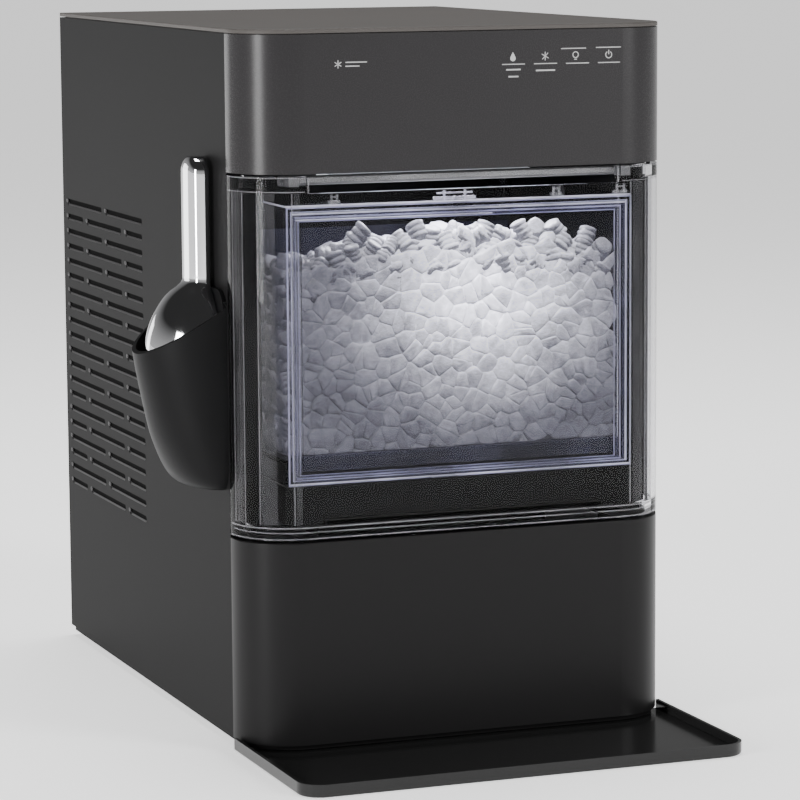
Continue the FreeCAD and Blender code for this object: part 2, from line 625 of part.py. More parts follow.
def scoop_holder():
    """Open pouch that clings to the side panel by two magnets, its mouth sloping outward."""
    drop = size("hold_back") - size("hold_rim")
    angle = math.degrees(math.atan2(drop, size("hold_out")))
    knife = doc.addObject("Part::Box", "holder_knife")
    about = Rotation(Vector(0, 0, 1), 180)
    knife.Placement = Placement(Vector(), about.multiply(Rotation(Vector(0, 1, 0), angle)))
    bind(knife, x="-cab_w / 2", y="hold_y + 70", z="hold_back", Length="120", Width="140", Height="80")
    seats = [cylinder(f"holder_seat_{z}", "-cab_w / 2 - 1.6", "hold_y", z, "6", "3", "X")
             for z in ("180", "225")]
    plate = box("holder_plate", "-cab_w / 2 - hold_wall", "hold_y - hold_half + 0.6", "hold_back - 63",
                "hold_wall", "2 * hold_half - 1.2", "hold_top - hold_back + 63")
    top = size("hold_back")
    tab = fillet("holder_tab", plate, 12.0, lambda middle, along: abs(along.x) > 0.99 and middle.z > top)
    cup = cut("holder_cup", pouch("holder_out", 0.0), pouch("holder_in", size("hold_wall")), knife)
    sub_part(cut("holder", fuse("holder_whole", cup, tab), *seats), "scoop_holder")
    magnets = [cylinder(f"magnet_{z}", "-cab_w / 2 - 1.6", "hold_y", z, "5.9", "1.5", "X")
               for z in ("180", "225")]
    sub_part(group("magnet_pair", *magnets), "holder_magnets")


BOWL_LEVELS = (-0.995, -0.95, -0.82, -0.6, -0.3, 0.0, 0.3, 0.6, 0.82, 0.95, 0.995)


def bowl_form(name, shrink):
    """The scoop's bowl as a solid, lofted through ellipses: long below its widest level, short above."""
    rings = []
    for number, level in enumerate(BOWL_LEVELS):
        reach = "(scoop_z - scoop_nose)" if level < 0 else "(scoop_neck - scoop_z)"
        share = math.sqrt(1 - level ** 2)
        ring = doc.addObject("Part::Ellipse", f"{name}_ring_{number}")
        bind(ring, x="-scoop_x", y="hold_y", z=f"scoop_z + {level} * ({reach} - {shrink})",
             MajorRadius=f"(scoop_out - {shrink}) * {share}", MinorRadius=f"(scoop_half - {shrink}) * {share}")
        rings.append(ring)
    loft = doc.addObject("Part::Loft", name)
    loft.Sections = rings
    loft.Solid = True
    return loft


def ice_scoop():
    """Cast scoop: a deep bowl open towards the cabinet, and a flat handle above it."""
    shell = cut("scoop_shell", bowl_form("scoop_outer", "0"), bowl_form("scoop_inner", "scoop_wall"))
    outward = box("scoop_outward", "-scoop_x - 60", "hold_y - 60", "scoop_nose - 5", "60", "120", "150")
    bowl = common("scoop_bowl", shell, outward)
    bar = box("scoop_bar", "-scoop_x - grip_t", "hold_y - grip_w / 2", "scoop_neck - 5.5", "grip_t", "grip_w",
              "grip_top - scoop_neck + 5.5")
    soft = fillet("scoop_bar_soft", bar, 4.2, lambda middle, along: upright(along))
    handle = fillet("scoop_handle", soft, 3.6, lambda middle, along: abs(middle.z - size("grip_top")) < 0.01)
    sub_part(fuse("scoop", bowl, handle), "ice_scoop")


# ---------------------------------------------------------------- water side

def reservoir():
    """Open-topped water tank under the bay, with its filter, its cap and a float on a stem."""
    outer = box("tank_outer", "-tank_x", "tank_y", "tank_z", "2 * tank_x", "tank_d", "tank_h")
    soft = fillet("tank_soft", outer, 12.0, lambda middle, along: upright(along))
    inner = box("tank_inner", "-tank_x + tank_wall", "tank_y + tank_wall", "tank_z + tank_wall",
                "2 * (tank_x - tank_wall)", "tank_d - 2 * tank_wall", "tank_h")
    soft_inner = fillet("tank_soft_inner", inner, 10.0, lambda middle, along: upright(along))
    sub_part(cut("tank", soft, soft_inner), "water_reservoir")
    filter_z = "tank_z + tank_wall + 20"
    filter_body = cylinder("filter_body", "-80", "170", filter_z, "19", "84", "X")
    filter_end = cylinder("filter_end", "4", "170", filter_z, "15", "12", "X")
    sub_part(fuse("filter", filter_body, filter_end), "water_filter")
    stem = cylinder("stem_rod", "float_x", "float_y", "tank_z + tank_wall", "3", "86")
    stop = cylinder("stem_stop", "float_x", "float_y", "tank_z + tank_wall + 84", "5", "2")
    sub_part(fuse("stem", stem, stop), "float_stem")
    ball = cylinder("float_ring", "float_x", "float_y", "float_z", "14", "18")
    sub_part(cut("float", ball, cylinder("float_hole", "float_x", "float_y", "float_z - 1", "3.4", "20")),
             "reservoir_float")


def pump_and_hoses():
    """Circulation pump on the pan, its two hoses, and the drain hose to the rear recess."""
    can = cylinder("pump_can", "78", "232", "34", "17", "44", "X")
    foot = box("pump_foot", "84", "216", "4.6", "30", "32", "16")
    sub_part(fuse("pump", can, foot), "water_pump")
    inlet = [(60, 204, 24), (60, 216, 24), (60, 232, 30), (78, 232, 30)]
    sub_part(tube("inlet_hose", inlet, 4.0, 2.6), "pump_inlet_hose")
    outlet = [(100, 249, 34), (100, 268, 34), (104, 285, 60), (107, 290, 100), (107, 290, 200), (98, 290, 205),
              (85.1, 290, 205)]
    sub_part(tube("outlet_hose", outlet, 4.0, 2.6), "evaporator_feed_hose")
    drain = [(-60, 204, 24), (-60, 225, 24), (-84, 245, 18), (-96, 285, 14), (-90, 320, 24), (-90, 340, 44),
             (-90, 352.8, 44)]
    sub_part(tube("drain_hose_tube", drain, 4.0, 2.6), "drain_hose")


def drain_recess():
    """Cup let into the rear panel that holds the drain outlet and its pull-out plug."""
    cup = box("recess_cup", "plug_x - 13.6", "353", "plug_z - 11.6", "40", "cab_d - 354", "23.2")
    hollow = box("recess_hollow", "plug_x - 12", "355", "plug_z - 10", "36.8", "60", "20")
    spout = cylinder("recess_spout", "plug_x", "354.5", "plug_z", "6", "14", "Y")
    bore = cylinder("recess_bore", "plug_x", "350", "plug_z", "3.4", "30", "Y")
    sub_part(cut("recess", fuse("recess_body", cut("recess_shell", cup, hollow), spout), bore), "drain_recess")
    pin = cylinder("plug_pin", "plug_x", "358", "plug_z", "3.3", "11", "Y")
    head = cylinder("plug_head", "plug_x", "368.8", "plug_z", "8", "5", "Y")
    pull = box("plug_pull", "plug_x - 1.5", "373", "plug_z - 6", "3", "11", "12")
    sub_part(fuse("plug", pin, head, pull), "drain_plug")


def cord_gland():
    """Bushing in the rear panel that the mains cord passes through."""
    flange = cylinder("gland_flange", "gland_x", "cab_d", "gland_z", "11", "1.8", "Y")
    neck = cylinder("gland_neck", "gland_x", "cab_d - 12", "gland_z", "8", "12.5", "Y")
    bore = cylinder("gland_bore", "gland_x", "cab_d - 20", "gland_z", "cord_rad", "30", "Y")
    sub_part(cut("gland", fuse("gland_body", flange, neck), bore), "power_cord_gland")


# ---------------------------------------------------------------- refrigeration side

def compressor():
    """Domed steel can on a plate, on four rubber grommets, with its relay box."""
    can = cylinder("comp_can", "comp_x", "comp_y", "comp_z", "comp_rad", "comp_h")
    domed = fillet("comp_dome", can, 26.0, lambda middle, along: middle.z > 60)
    low = fillet("comp_low", domed, 14.0, lambda middle, along: middle.z < 30)
    plate = box("comp_plate_box", "comp_x - 48", "comp_y - 48", "16", "96", "96", "3")
    seat = cylinder("comp_seat", "comp_x", "comp_y", "19", "30", "8")
    sub_part(fuse("comp", low, seat), "compressor")
    places = [(x, y) for x in ("comp_x - 40", "comp_x + 40") for y in ("comp_y - 40", "comp_y + 40")]
    holes = [cylinder(f"comp_hole_{i}", x, y, "10", "5", "20") for i, (x, y) in enumerate(places)]
    sub_part(cut("comp_plate", plate, *holes), "compressor_plate")
    grommets = []
    for number, (x, y) in enumerate(places):
        wide = cylinder(f"grommet_wide_{number}", x, y, "4.6", "9", "11.4")
        neck = cylinder(f"grommet_neck_{number}", x, y, "4.6", "5", "17")
        grommets.append(fuse(f"grommet_{number}", wide, neck))
    sub_part(group("grommet_set", *grommets), "compressor_grommets")
    relay = box("relay_box", "comp_x + comp_rad - 2", "comp_y - 18", "60", "18", "36", "44")
    sub_part(cut("relay", relay, cylinder("relay_fit", "comp_x", "comp_y", "40", "comp_rad + 0.2", "100")),
             "starter_relay")


def condenser():
    """Finned coil behind the left louvres: upright plates on a tube that snakes through them."""
    fins = []
    for number in range(24):
        y = f"cond_y + {number} * cond_d / 23"
        fins.append(box(f"fin_{number}", "cond_x", y, "cond_z", "cond_t", "0.5", "cond_h"))
    holes = [cylinder(f"fin_hole_{row}", "cond_x + cond_t / 2", "cond_y - 10", f"cond_z + 14 + {row} * 28.4",
                      "3.1", "cond_d + 30", "Y") for row in range(6)]
    sub_part(cut("fin_set", group("fin_stack", *fins), *holes), "condenser_fins")
    x = size("cond_x") + size("cond_t") / 2
    near, far = size("cond_y") - 4, size("cond_y") + size("cond_d") + 5
    rise = 28.4
    low = size("cond_z") + 14
    edges = []
    for row in range(6):
        z = low + row * rise
        start, end = (near, far) if row % 2 == 0 else (far, near)
        edges.append(Part.LineSegment(Vector(x, start, z), Vector(x, end, z)).toShape())
        if row < 5:
            side = 1 if row % 2 == 0 else -1
            middle = Vector(x, end + side * 4.5, z + rise / 2)
            edges.append(Part.Arc(Vector(x, end, z), middle, Vector(x, end, z + rise)).toShape())
    path = Part.Wire(edges)
    ring = Part.Wire(Part.Circle(Vector(x, near, low), Vector(0, 1, 0), 3.0).toShape())
    snake = doc.addObject("Part::Feature", "condenser_snake")
    snake.Shape = path.makePipeShell([ring], True, True)
    liquid = [(x, near, low), (x, 212, low), (-60, 212, low), (-20, 222, 136), (-20, 232, 136),
              (-20, 232, 150)]
    sub_part(group("condenser_tubes", snake, tube("liquid_line", liquid, 2.4)), "condenser_tube")


def fan():
    """Axial fan that draws air through the condenser: shroud, motor and a turning rotor."""
    x = "fan_x"
    plate = box("shroud_plate", f"{x} - 12", "fan_y - fan_rad - 6", "fan_z - fan_rad - 6", "2",
                "2 * fan_rad + 12", "2 * fan_rad + 12")
    ring = cylinder("shroud_ring", f"{x} - 12", "fan_y", "fan_z", "fan_rad + 3", "22", "X")
    hole = cylinder("shroud_hole", f"{x} - 14", "fan_y", "fan_z", "fan_rad + 1", "40", "X")
    arms = [box("arm_flat", f"{x} + 7", "fan_y - fan_rad - 2", "fan_z - 4", "3", "2 * fan_rad + 4", "8"),
            box("arm_tall", f"{x} + 7", "fan_y - 4", "fan_z - fan_rad - 2", "3", "8", "2 * fan_rad + 4")]
    shroud = fuse("shroud", cut("shroud_open", fuse("shroud_body", plate, ring), hole), *arms)
    seat = cylinder("shroud_seat", f"{x} + 6", "fan_y", "fan_z", "18.05", "10", "X")
    sub_part(cut("shroud_cut", shroud, seat), "fan_shroud")
    can = cylinder("fan_can", f"{x} + 6", "fan_y", "fan_z", "18", "26", "X")
    axle = cylinder("fan_axle", f"{x} - 8", "fan_y", "fan_z", "2", "16", "X")
    sub_part(fuse("fan_motor_body", can, axle), "fan_motor")
    body = new_body("rotor")
    hub_sketch = new_sketch(body, "rotor_hub_sketch", "YZ_Plane", "-7")
    circle(hub_sketch, "0", "0", "15")
    circle(hub_sketch, "0", "0", "2 + running")
    pad(body, "rotor_hub", hub_sketch, "12")
    blade_sketch = new_sketch(body, "rotor_blade_sketch", "XY_Plane", "14")
    corners = [Vector(-6, -13), Vector(-4.6, -14), Vector(4, 12), Vector(2.6, 13)]
    for number in range(4):
        blade_sketch.addGeometry(Part.LineSegment(corners[number], corners[(number + 1) % 4]))
    for number in range(4):
        blade_sketch.addConstraint(Sketcher.Constraint("Coincident", number, 2, (number + 1) % 4, 1))
    blade = pad(body, "rotor_blade", blade_sketch, "fan_rad - 15.4")
    polar(body, "rotor_blades", blade, "7", "X_Axis")
    sub_part(body, "fan_rotor", "fan_x", "fan_y", "fan_z")


# ---------------------------------------------------------------- auger and drive

def gear_outline(teeth, module, phase):
    """A toothed outline: narrow straight-sided teeth that leave backlash all round."""
    pitch = teeth * module / 2
    root, tip = pitch - 1.25 * module, pitch + 0.75 * module
    step = 2 * math.pi / teeth
    shares = [(root, -0.27), (tip, -0.10), (tip, 0.10), (root, 0.27)]
    points = [Vector(r * math.cos(phase + (n + a) * step), r * math.sin(phase + (n + a) * step))
              for n in range(teeth) for r, a in shares]
    return points + [points[0]]


def gear_blank(height, teeth, phase):
    """A spur gear without a bore, about its own axis."""
    outline = gear_outline(int(size(teeth)), size("gear_mod"), phase)
    return Part.Face(Part.Wire(Part.makePolygon(outline))).extrude(Vector(0, 0, height))


def auger_drive():
    """Motor, pinion and large gear in a split gearbox under the auger."""
    reach = (size("gear_teeth") + size("pinion_teeth")) * size("gear_mod") / 2
    motor_y = f"aug_y - {reach}"
    big = doc.addObject("Part::Feature", "big_gear")
    bore = Part.makeCylinder(size("shaft_rad") + 0.01, size("gear_h"))
    big.Shape = gear_blank(size("gear_h"), "gear_teeth", -math.pi / 2).cut(bore)
    sub_part(big, "auger_gear", "aug_x", "aug_y", "gear_z")
    half_tooth = math.pi / size("pinion_teeth")
    small = doc.addObject("Part::Feature", "small_gear")
    axle = Part.makeCylinder(2.5, size("gear_h") + 3.5, Vector(0, 0, -1.5))
    small.Shape = gear_blank(size("gear_h"), "pinion_teeth", math.pi / 2 + half_tooth).fuse(axle)
    sub_part(small, "motor_pinion", "aug_x", motor_y, "gear_z")
    outer = box("case_outer", "aug_x - 38", f"{motor_y} - 14", "gear_z - 6", "76", f"{reach} + 52",
                "gear_h + 12")
    soft = fillet("case_soft", outer, 10.0, lambda middle, along: upright(along))
    inner = box("case_inner", "aug_x - 35", f"{motor_y} - 11", "gear_z - 3", "70", f"{reach} + 46",
                "gear_h + 6")
    shaft_hole = cylinder("case_shaft_hole", "aug_x", "aug_y", "gear_z - 20", "shaft_rad + running", "60")
    motor_hole = cylinder("case_motor_hole", "aug_x", motor_y, "gear_z - 20", "6", "18")
    legs = [box(f"case_leg_{number}", x, y, "pan_z + 1.4", "8", "8", "gear_z - 6 - pan_z - 1.4")
            for number, (x, y) in enumerate((("26", "241"), ("50", "320"), ("88", "318")))]
    case = cut("case_open", soft, inner, shaft_hole, motor_hole)
    sub_part(fuse("case", case, *legs), "gearbox_housing")
    can = cylinder("motor_can", "aug_x", motor_y, "gear_z - 58", "28", "52")
    boss = cylinder("motor_boss", "aug_x", motor_y, "gear_z - 6.1", "5.9", "3.5")
    sub_part(fuse("motor", can, boss), "auger_motor")


def auger():
    """Screw that scrapes ice off the barrel and pushes it up: a shaft with one helical flight."""
    radius, pitch = size("flight_rad"), size("flight_pitch")
    start = size("barrel_z") + 4
    height = 150.0
    shaft_low = size("gear_z") - 5
    shaft = Part.makeCylinder(size("shaft_rad"), 380 - shaft_low, Vector(0, 0, shaft_low))
    helix = Part.makeHelix(pitch, height, radius)
    root = size("shaft_rad") - 1
    corners = [Vector(root, 0, 0), Vector(radius, 0, 0), Vector(radius, 0, 2.6), Vector(root, 0, 4.2)]
    section = Part.Wire(Part.makePolygon(corners + [corners[0]]))
    flight = Part.Wire(helix.Edges).makePipeShell([section], True, True)
    flight.translate(Vector(0, 0, start))
    feature = doc.addObject("Part::Feature", "auger_screw")
    feature.Shape = shaft.fuse(flight)
    sub_part(feature, "auger", "aug_x", "aug_y")


def evaporator():
    """Freezing barrel with its coil, two insulation halves, and the head that forms the nuggets."""
    outside = cylinder("barrel_outside", "aug_x", "aug_y", "barrel_z", "barrel_out", "barrel_h")
    inside = cylinder("barrel_inside", "aug_x", "aug_y", "barrel_z - 1", "barrel_in", "barrel_h + 2")
    barrel = cut("barrel_tube", outside, inside)
    block = cylinder("barrel_foot", "aug_x", "aug_y", "barrel_z - 22", "barrel_out + 3", "22")
    seal = cylinder("barrel_seal", "aug_x", "aug_y", "barrel_z - 30", "shaft_rad + running", "40")
    foot = cut("barrel_foot_ring", block, seal)
    port = cylinder("barrel_port", "aug_x", "aug_y", "205", "2", "40", "X")
    sub_part(cut("barrel", barrel, port), "evaporator_barrel")
    sub_part(foot, "barrel_seal_housing")
    helix = Part.makeHelix(10.0, 120.0, size("barrel_out") + 3.1)
    ring = Part.Wire(Part.Circle(Vector(size("barrel_out") + 3.1, 0, 0), Vector(0, 1, 0), 3.0).toShape())
    coil = Part.Wire(helix.Edges).makePipeShell([ring], True, True)
    feature = doc.addObject("Part::Feature", "coil")
    feature.Shape = coil
    sub_part(feature, "evaporator_coil", "aug_x", "aug_y", "barrel_z + 26")
    halves = []
    for number, x in enumerate(("aug_x - 60", "aug_x + 0.1")):
        outside = cylinder(f"foam_out_{number}", "aug_x", "aug_y", "barrel_z + 24", "42", "128")
        inside = cylinder(f"foam_in_{number}", "aug_x", "aug_y", "barrel_z", "30", "180")
        side = box(f"foam_side_{number}", x, "aug_y - 60", "200", "59.9", "120", "180")
        halves.append(common(f"foam_half_{number}", cut(f"foam_shell_{number}", outside, inside), side))
    sub_part(group("foam", *halves), "evaporator_insulation")
    head = cylinder("head_disc", "aug_x", "aug_y", "barrel_z + barrel_h", "barrel_out", "12")
    bore = cylinder("head_bore", "aug_x", "aug_y", "barrel_z + barrel_h - 1", "shaft_rad + running", "20")
    orifices = [cylinder(f"head_hole_{n}", f"aug_x + 15 * cos({n} * 45)", f"aug_y + 15 * sin({n} * 45)",
                         "barrel_z + barrel_h - 1", "3.8", "20") for n in range(8)]
    sub_part(cut("head", head, bore, *orifices), "nugget_extruder_head")


def ice_chute():
    """Hood over the extruder head and a spout that drops the nuggets into the bay."""
    hood = box("hood_outer", "aug_x - 30", "152", "371", "60", "170", "28")
    hood_in = box("hood_inner", "aug_x - 28", "154", "373", "56", "166", "24")
    spout = box("spout_outer", "aug_x - 26", "154", "337.2", "52", "44", "35")
    spout_in = box("spout_inner", "aug_x - 24", "156", "330", "48", "40", "50")
    mouth = cylinder("hood_mouth", "aug_x", "aug_y", "365", "barrel_out + 0.4", "10")
    sub_part(cut("chute", fuse("chute_body", hood, spout), hood_in, spout_in, mouth), "ice_chute")


def refrigerant_lines():
    """Copper lines between compressor, condenser, drier and evaporator."""
    drier = cylinder("drier_can", "-20", "232", "150", "8", "70")
    sub_part(fillet("drier", drier, 4.0, lambda middle, along: True), "filter_drier")
    top = size("comp_z") + size("comp_h")
    hot = [(-40, 310, top), (-40, 310, top + 22), (-42, 240, 200), (-60, 213, 240), (-100, 212, 276.0),
           (-121.3, 212, 276.0), (-121.3, 221, 276.0)]
    back = [(19.5, 300, 240), (-2, 300, 240), (-12, 312, 200), (-12, 314, top)]
    sub_part(group("compressor_line_pair", tube("hot_line", hot, 2.4), tube("back_line", back, 3.0)),
             "compressor_lines")
    cold = [(-20, 232, 220), (-20, 232, 245), (-8, 240, 262), (6, 262, 268), (18, 284, 268)]
    sub_part(tube("cold_line", cold, 1.6), "capillary_line")


for make in (base_pan, feet, rear_panel, rear_screws, top_cover, front_housings, controls, bay_liner,
             bay_fittings, drawer_window, drawer_shelf, ice_bin, drawer_gasket, drip_tray, scoop_holder,
             ice_scoop, reservoir, pump_and_hoses, drain_recess, cord_gland, compressor, condenser, fan,
             auger_drive, auger, evaporator, ice_chute, refrigerant_lines):
    make()
side_panel("left")
side_panel("right")
doc.recompute()


def problems(item):
    """What is wrong with a finished sub-part, or nothing."""
    if item.Shape.isNull() or not item.Shape.isValid() or not item.Shape.Solids:
        return f"{item.Label}: no valid solid"
    return ""


failed = [item.Name for item in doc.Objects if {"Invalid", "Error"} & set(item.State)]
failed += [text for text in map(problems, finished) if text]
if failed:
    raise RuntimeError(f"these objects failed: {failed}")

os.makedirs("parts", exist_ok=True)
for old in os.listdir("parts"):
    os.remove(os.path.join("parts", old))
for item in finished:
    item.Shape.exportStep(os.path.join("parts", item.Label + ".step"))
print(len(finished), "sub-parts written")
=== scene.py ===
"""Looks for the countertop ice maker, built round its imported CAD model."""
import json
import math
import random

import bpy
from mathutils import Matrix, Vector


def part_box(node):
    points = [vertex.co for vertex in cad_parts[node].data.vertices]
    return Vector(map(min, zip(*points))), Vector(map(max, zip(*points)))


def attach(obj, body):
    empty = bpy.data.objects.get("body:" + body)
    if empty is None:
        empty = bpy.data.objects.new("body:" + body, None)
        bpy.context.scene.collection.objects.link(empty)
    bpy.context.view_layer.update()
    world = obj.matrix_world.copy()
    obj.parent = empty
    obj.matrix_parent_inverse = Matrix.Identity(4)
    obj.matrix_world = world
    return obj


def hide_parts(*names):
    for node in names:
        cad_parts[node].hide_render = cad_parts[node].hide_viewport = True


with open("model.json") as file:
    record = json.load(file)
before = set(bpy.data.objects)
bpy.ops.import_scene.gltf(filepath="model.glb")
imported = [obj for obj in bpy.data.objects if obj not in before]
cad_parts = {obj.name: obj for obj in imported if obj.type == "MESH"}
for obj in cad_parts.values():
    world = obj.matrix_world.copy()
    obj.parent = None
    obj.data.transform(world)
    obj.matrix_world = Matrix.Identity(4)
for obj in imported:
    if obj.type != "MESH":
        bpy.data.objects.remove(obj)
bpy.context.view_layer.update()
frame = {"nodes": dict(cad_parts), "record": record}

front_lo, front_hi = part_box("upper_front_housing")
side_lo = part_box("left_side_panel")[0]
MID_X = (front_lo[0] + front_hi[0]) / 2
FRONT_Y = front_lo[1]


def at(x, y, z):
    """Row-frame metres from millimetres off the cabinet's centre, front plane and floor."""
    return Vector((MID_X + x / 1000, FRONT_Y + y / 1000, z / 1000))


# Sizes in cabinet millimetres that several pieces share.
CABINET_HALF = round((MID_X - side_lo[0]) * 1000, 1)
CORNER_RADIUS = 35.0
CORNER_CENTRE = CABINET_HALF - CORNER_RADIUS
WINDOW_LOW, WINDOW_HIGH = 135.0, 326.0
PANE_Y = 16.2
BIN_HALF = 103.6
ICE_HALF = 102.5
ICE_FLOOR = 173.4

# ---------------------------------------------------------------- materials

def new_material(name):
    """A new material with its nodes and links."""
    material = bpy.data.materials.new(name)
    material.use_nodes = True
    return material, material.node_tree.nodes, material.node_tree.links


def shade(color, factor):
    """A colour made lighter or darker, with full alpha."""
    return (min(1, color[0] * factor), min(1, color[1] * factor), min(1, color[2] * factor), 1)


def surface(name, color, rough, metal=0.0, grain=900.0, bump=0.03, depth=0.0002, vary=0.08, patch=7.0,
            stretch=(1, 1, 1), spread=0.05, **inputs):
    """A material with a slow change of tone, a change of roughness and a fine grain."""
    material, nodes, links = new_material(name)
    shader = nodes["Principled BSDF"]
    coord = nodes.new("ShaderNodeTexCoord")
    mapping = nodes.new("ShaderNodeMapping")
    mapping.inputs["Scale"].default_value = stretch
    links.new(coord.outputs["Object"], mapping.inputs["Vector"])
    slow = nodes.new("ShaderNodeTexNoise")
    slow.inputs["Scale"].default_value = patch
    slow.inputs["Detail"].default_value = 4
    fine = nodes.new("ShaderNodeTexNoise")
    fine.inputs["Scale"].default_value = grain
    fine.inputs["Detail"].default_value = 3
    links.new(mapping.outputs["Vector"], slow.inputs["Vector"])
    links.new(mapping.outputs["Vector"], fine.inputs["Vector"])
    tone = nodes.new("ShaderNodeMix")
    tone.data_type = "RGBA"
    tone.inputs[6].default_value = shade(color, 1 - vary)
    tone.inputs[7].default_value = shade(color, 1 + vary)
    links.new(slow.outputs["Fac"], tone.inputs["Factor"])
    links.new(tone.outputs[2], shader.inputs["Base Color"])
    worn = nodes.new("ShaderNodeMapRange")
    worn.inputs["To Min"].default_value = max(0, rough - spread)
    worn.inputs["To Max"].default_value = rough + spread
    links.new(fine.outputs["Fac"], worn.inputs["Value"])
    links.new(worn.outputs["Result"], shader.inputs["Roughness"])
    relief = nodes.new("ShaderNodeBump")
    relief.inputs["Strength"].default_value = bump
    relief.inputs["Distance"].default_value = depth
    links.new(fine.outputs["Fac"], relief.inputs["Height"])
    links.new(relief.outputs["Normal"], shader.inputs["Normal"])
    shader.inputs["Metallic"].default_value = metal
    for key, value in inputs.items():
        shader.inputs[key.replace("_", " ")].default_value = value
    return material


def glow(name, color, strength):
    """A lit diffuser: a soft glow that varies a little along it."""
    material, nodes, links = new_material(name)
    shader = nodes["Principled BSDF"]
    coord = nodes.new("ShaderNodeTexCoord")
    noise = nodes.new("ShaderNodeTexNoise")
    noise.inputs["Scale"].default_value = 60
    links.new(coord.outputs["Object"], noise.inputs["Vector"])
    power = nodes.new("ShaderNodeMapRange")
    power.inputs["To Min"].default_value = strength * 0.9
    power.inputs["To Max"].default_value = strength * 1.1
    links.new(noise.outputs["Fac"], power.inputs["Value"])
    links.new(power.outputs["Result"], shader.inputs["Emission Strength"])
    shader.inputs["Emission Color"].default_value = (*color, 1)
    shader.inputs["Base Color"].default_value = (*color, 1)
    shader.inputs["Roughness"].default_value = 0.4
    return material


def clear(name, color, rough=0.02, ior=1.14, ripple=0.02):
    """Clear moulded plastic: tinted, with the faint ripple of a moulding."""
    material, nodes, links = new_material(name)
    shader = nodes["Principled BSDF"]
    coord = nodes.new("ShaderNodeTexCoord")
    noise = nodes.new("ShaderNodeTexNoise")
    noise.inputs["Scale"].default_value = 30
    noise.inputs["Detail"].default_value = 1
    links.new(coord.outputs["Object"], noise.inputs["Vector"])
    relief = nodes.new("ShaderNodeBump")
    relief.inputs["Strength"].default_value = ripple
    relief.inputs["Distance"].default_value = 0.0005
    links.new(noise.outputs["Fac"], relief.inputs["Height"])
    links.new(relief.outputs["Normal"], shader.inputs["Normal"])
    tone = nodes.new("ShaderNodeMix")
    tone.data_type = "RGBA"
    tone.inputs[6].default_value = shade(color, 0.98)
    tone.inputs[7].default_value = shade(color, 1.02)
    links.new(noise.outputs["Fac"], tone.inputs["Factor"])
    links.new(tone.outputs[2], shader.inputs["Base Color"])
    shader.inputs["Roughness"].default_value = rough
    shader.inputs["IOR"].default_value = ior
    shader.inputs["Transmission Weight"].default_value = 1
    return material


FINISH = {
    "black_steel": surface("black_steel", (0.0083, 0.0081, 0.0083), 0.5, 0, 1400, 0.05,
                           Specular_IOR_Level=0.03),
    "top_steel": surface("top_steel", (0.075, 0.069, 0.065), 0.5, 0, 1400, 0.05, Specular_IOR_Level=0.1),
    "black_front": surface("black_front", (0.021, 0.0198, 0.0208), 0.27, 0, 1600, 0.04,
                           Specular_IOR_Level=0.2),
    "black_plastic": surface("black_plastic", (0.0055, 0.0055, 0.0058), 0.45, 0, 500, 0.01, spread=0.02,
                             Specular_IOR_Level=0.08),
    "grey_plastic": surface("grey_plastic", (0.12, 0.12, 0.125), 0.4, 0, 1500, 0.04),
    "tray_gloss": surface("tray_gloss", (0.016, 0.016, 0.016), 0.16, 0, 1200, 0.02, spread=0.03,
                          Specular_IOR_Level=0.25),
    "white_plastic": surface("white_plastic", (0.75, 0.76, 0.78), 0.4, 0, 1500, 0.04),
    "rubber": surface("rubber", (0.02, 0.02, 0.02), 0.8, 0, 2500, 0.15),
    "galvanised": surface("galvanised", (0.3, 0.3, 0.31), 0.38, 1, 300, 0.04, vary=0.2, patch=60),
    "stainless": surface("stainless", (0.62, 0.62, 0.63), 0.3, 1, 700, 0.05, stretch=(1, 1, 0.05)),
    "polished_aluminium": surface("polished_aluminium", (0.86, 0.86, 0.88), 0.07, 1, 500, 0.02,
                                  vary=0.03, spread=0.03),
    "fin_aluminium": surface("fin_aluminium", (0.014, 0.014, 0.014), 0.8, 0, 900, 0.05,
                             Specular_IOR_Level=0.05),
    "copper": surface("copper", (0.6, 0.3, 0.17), 0.28, 1, 700, 0.05, vary=0.2, patch=40),
    "magnet": surface("magnet", (0.5, 0.5, 0.5), 0.2, 1, 700, 0.02),
    "smoke_clear": clear("smoke_clear", (0.78, 0.78, 0.8)),
    "violet_clear": clear("violet_clear", (0.9, 0.9, 0.975)),
    "lens": glow("lens", (0.88, 0.92, 1.0), 0.8),
    "board": surface("board", (0.03, 0.16, 0.08), 0.4, 0, 900, 0.05),
    "foam": surface("foam", (0.08, 0.08, 0.08), 0.9, 0, 700, 0.5, depth=0.001),
    "hose": surface("hose", (0.6, 0.6, 0.57), 0.4, 0, 900, 0.05, patch=40),
}
# The lower front housing: black_front made rougher and less glossy, and its colour halved as painted shade,
# so it is darker than the upper housing.
LOWER_FRONT_PAINTED_SHADE = surface("black_front_lower_painted_shade", (0.0105, 0.0102, 0.0105), 0.34, 0, 1600, 0.04,
                      Specular_IOR_Level=0.1)
# The louvre lips: the side panel's black steel made about four times lighter and glossier, a painted
# highlight along the lips' bevels.
LIP_PAINTED_HIGHLIGHT = surface("louvre_lip", (0.036, 0.035, 0.036), 0.45, 0, 1600, 0.04, Specular_IOR_Level=0.3)
SLOT = {entry["node"]: entry["material_slot"] for entry in frame["record"]["subparts"]}


def finish_with(obj, material):
    """Gives an object one material over all of it."""
    if not obj.data.materials:
        obj.data.materials.append(material)
    for number in range(len(obj.data.materials)):
        obj.data.materials[number] = material


for node_name, node in frame["nodes"].items():
    finish_with(node, FINISH[SLOT[node_name]])
# The lower front housing takes the copy with painted shade.
finish_with(frame["nodes"]["lower_front_housing"], LOWER_FRONT_PAINTED_SHADE)


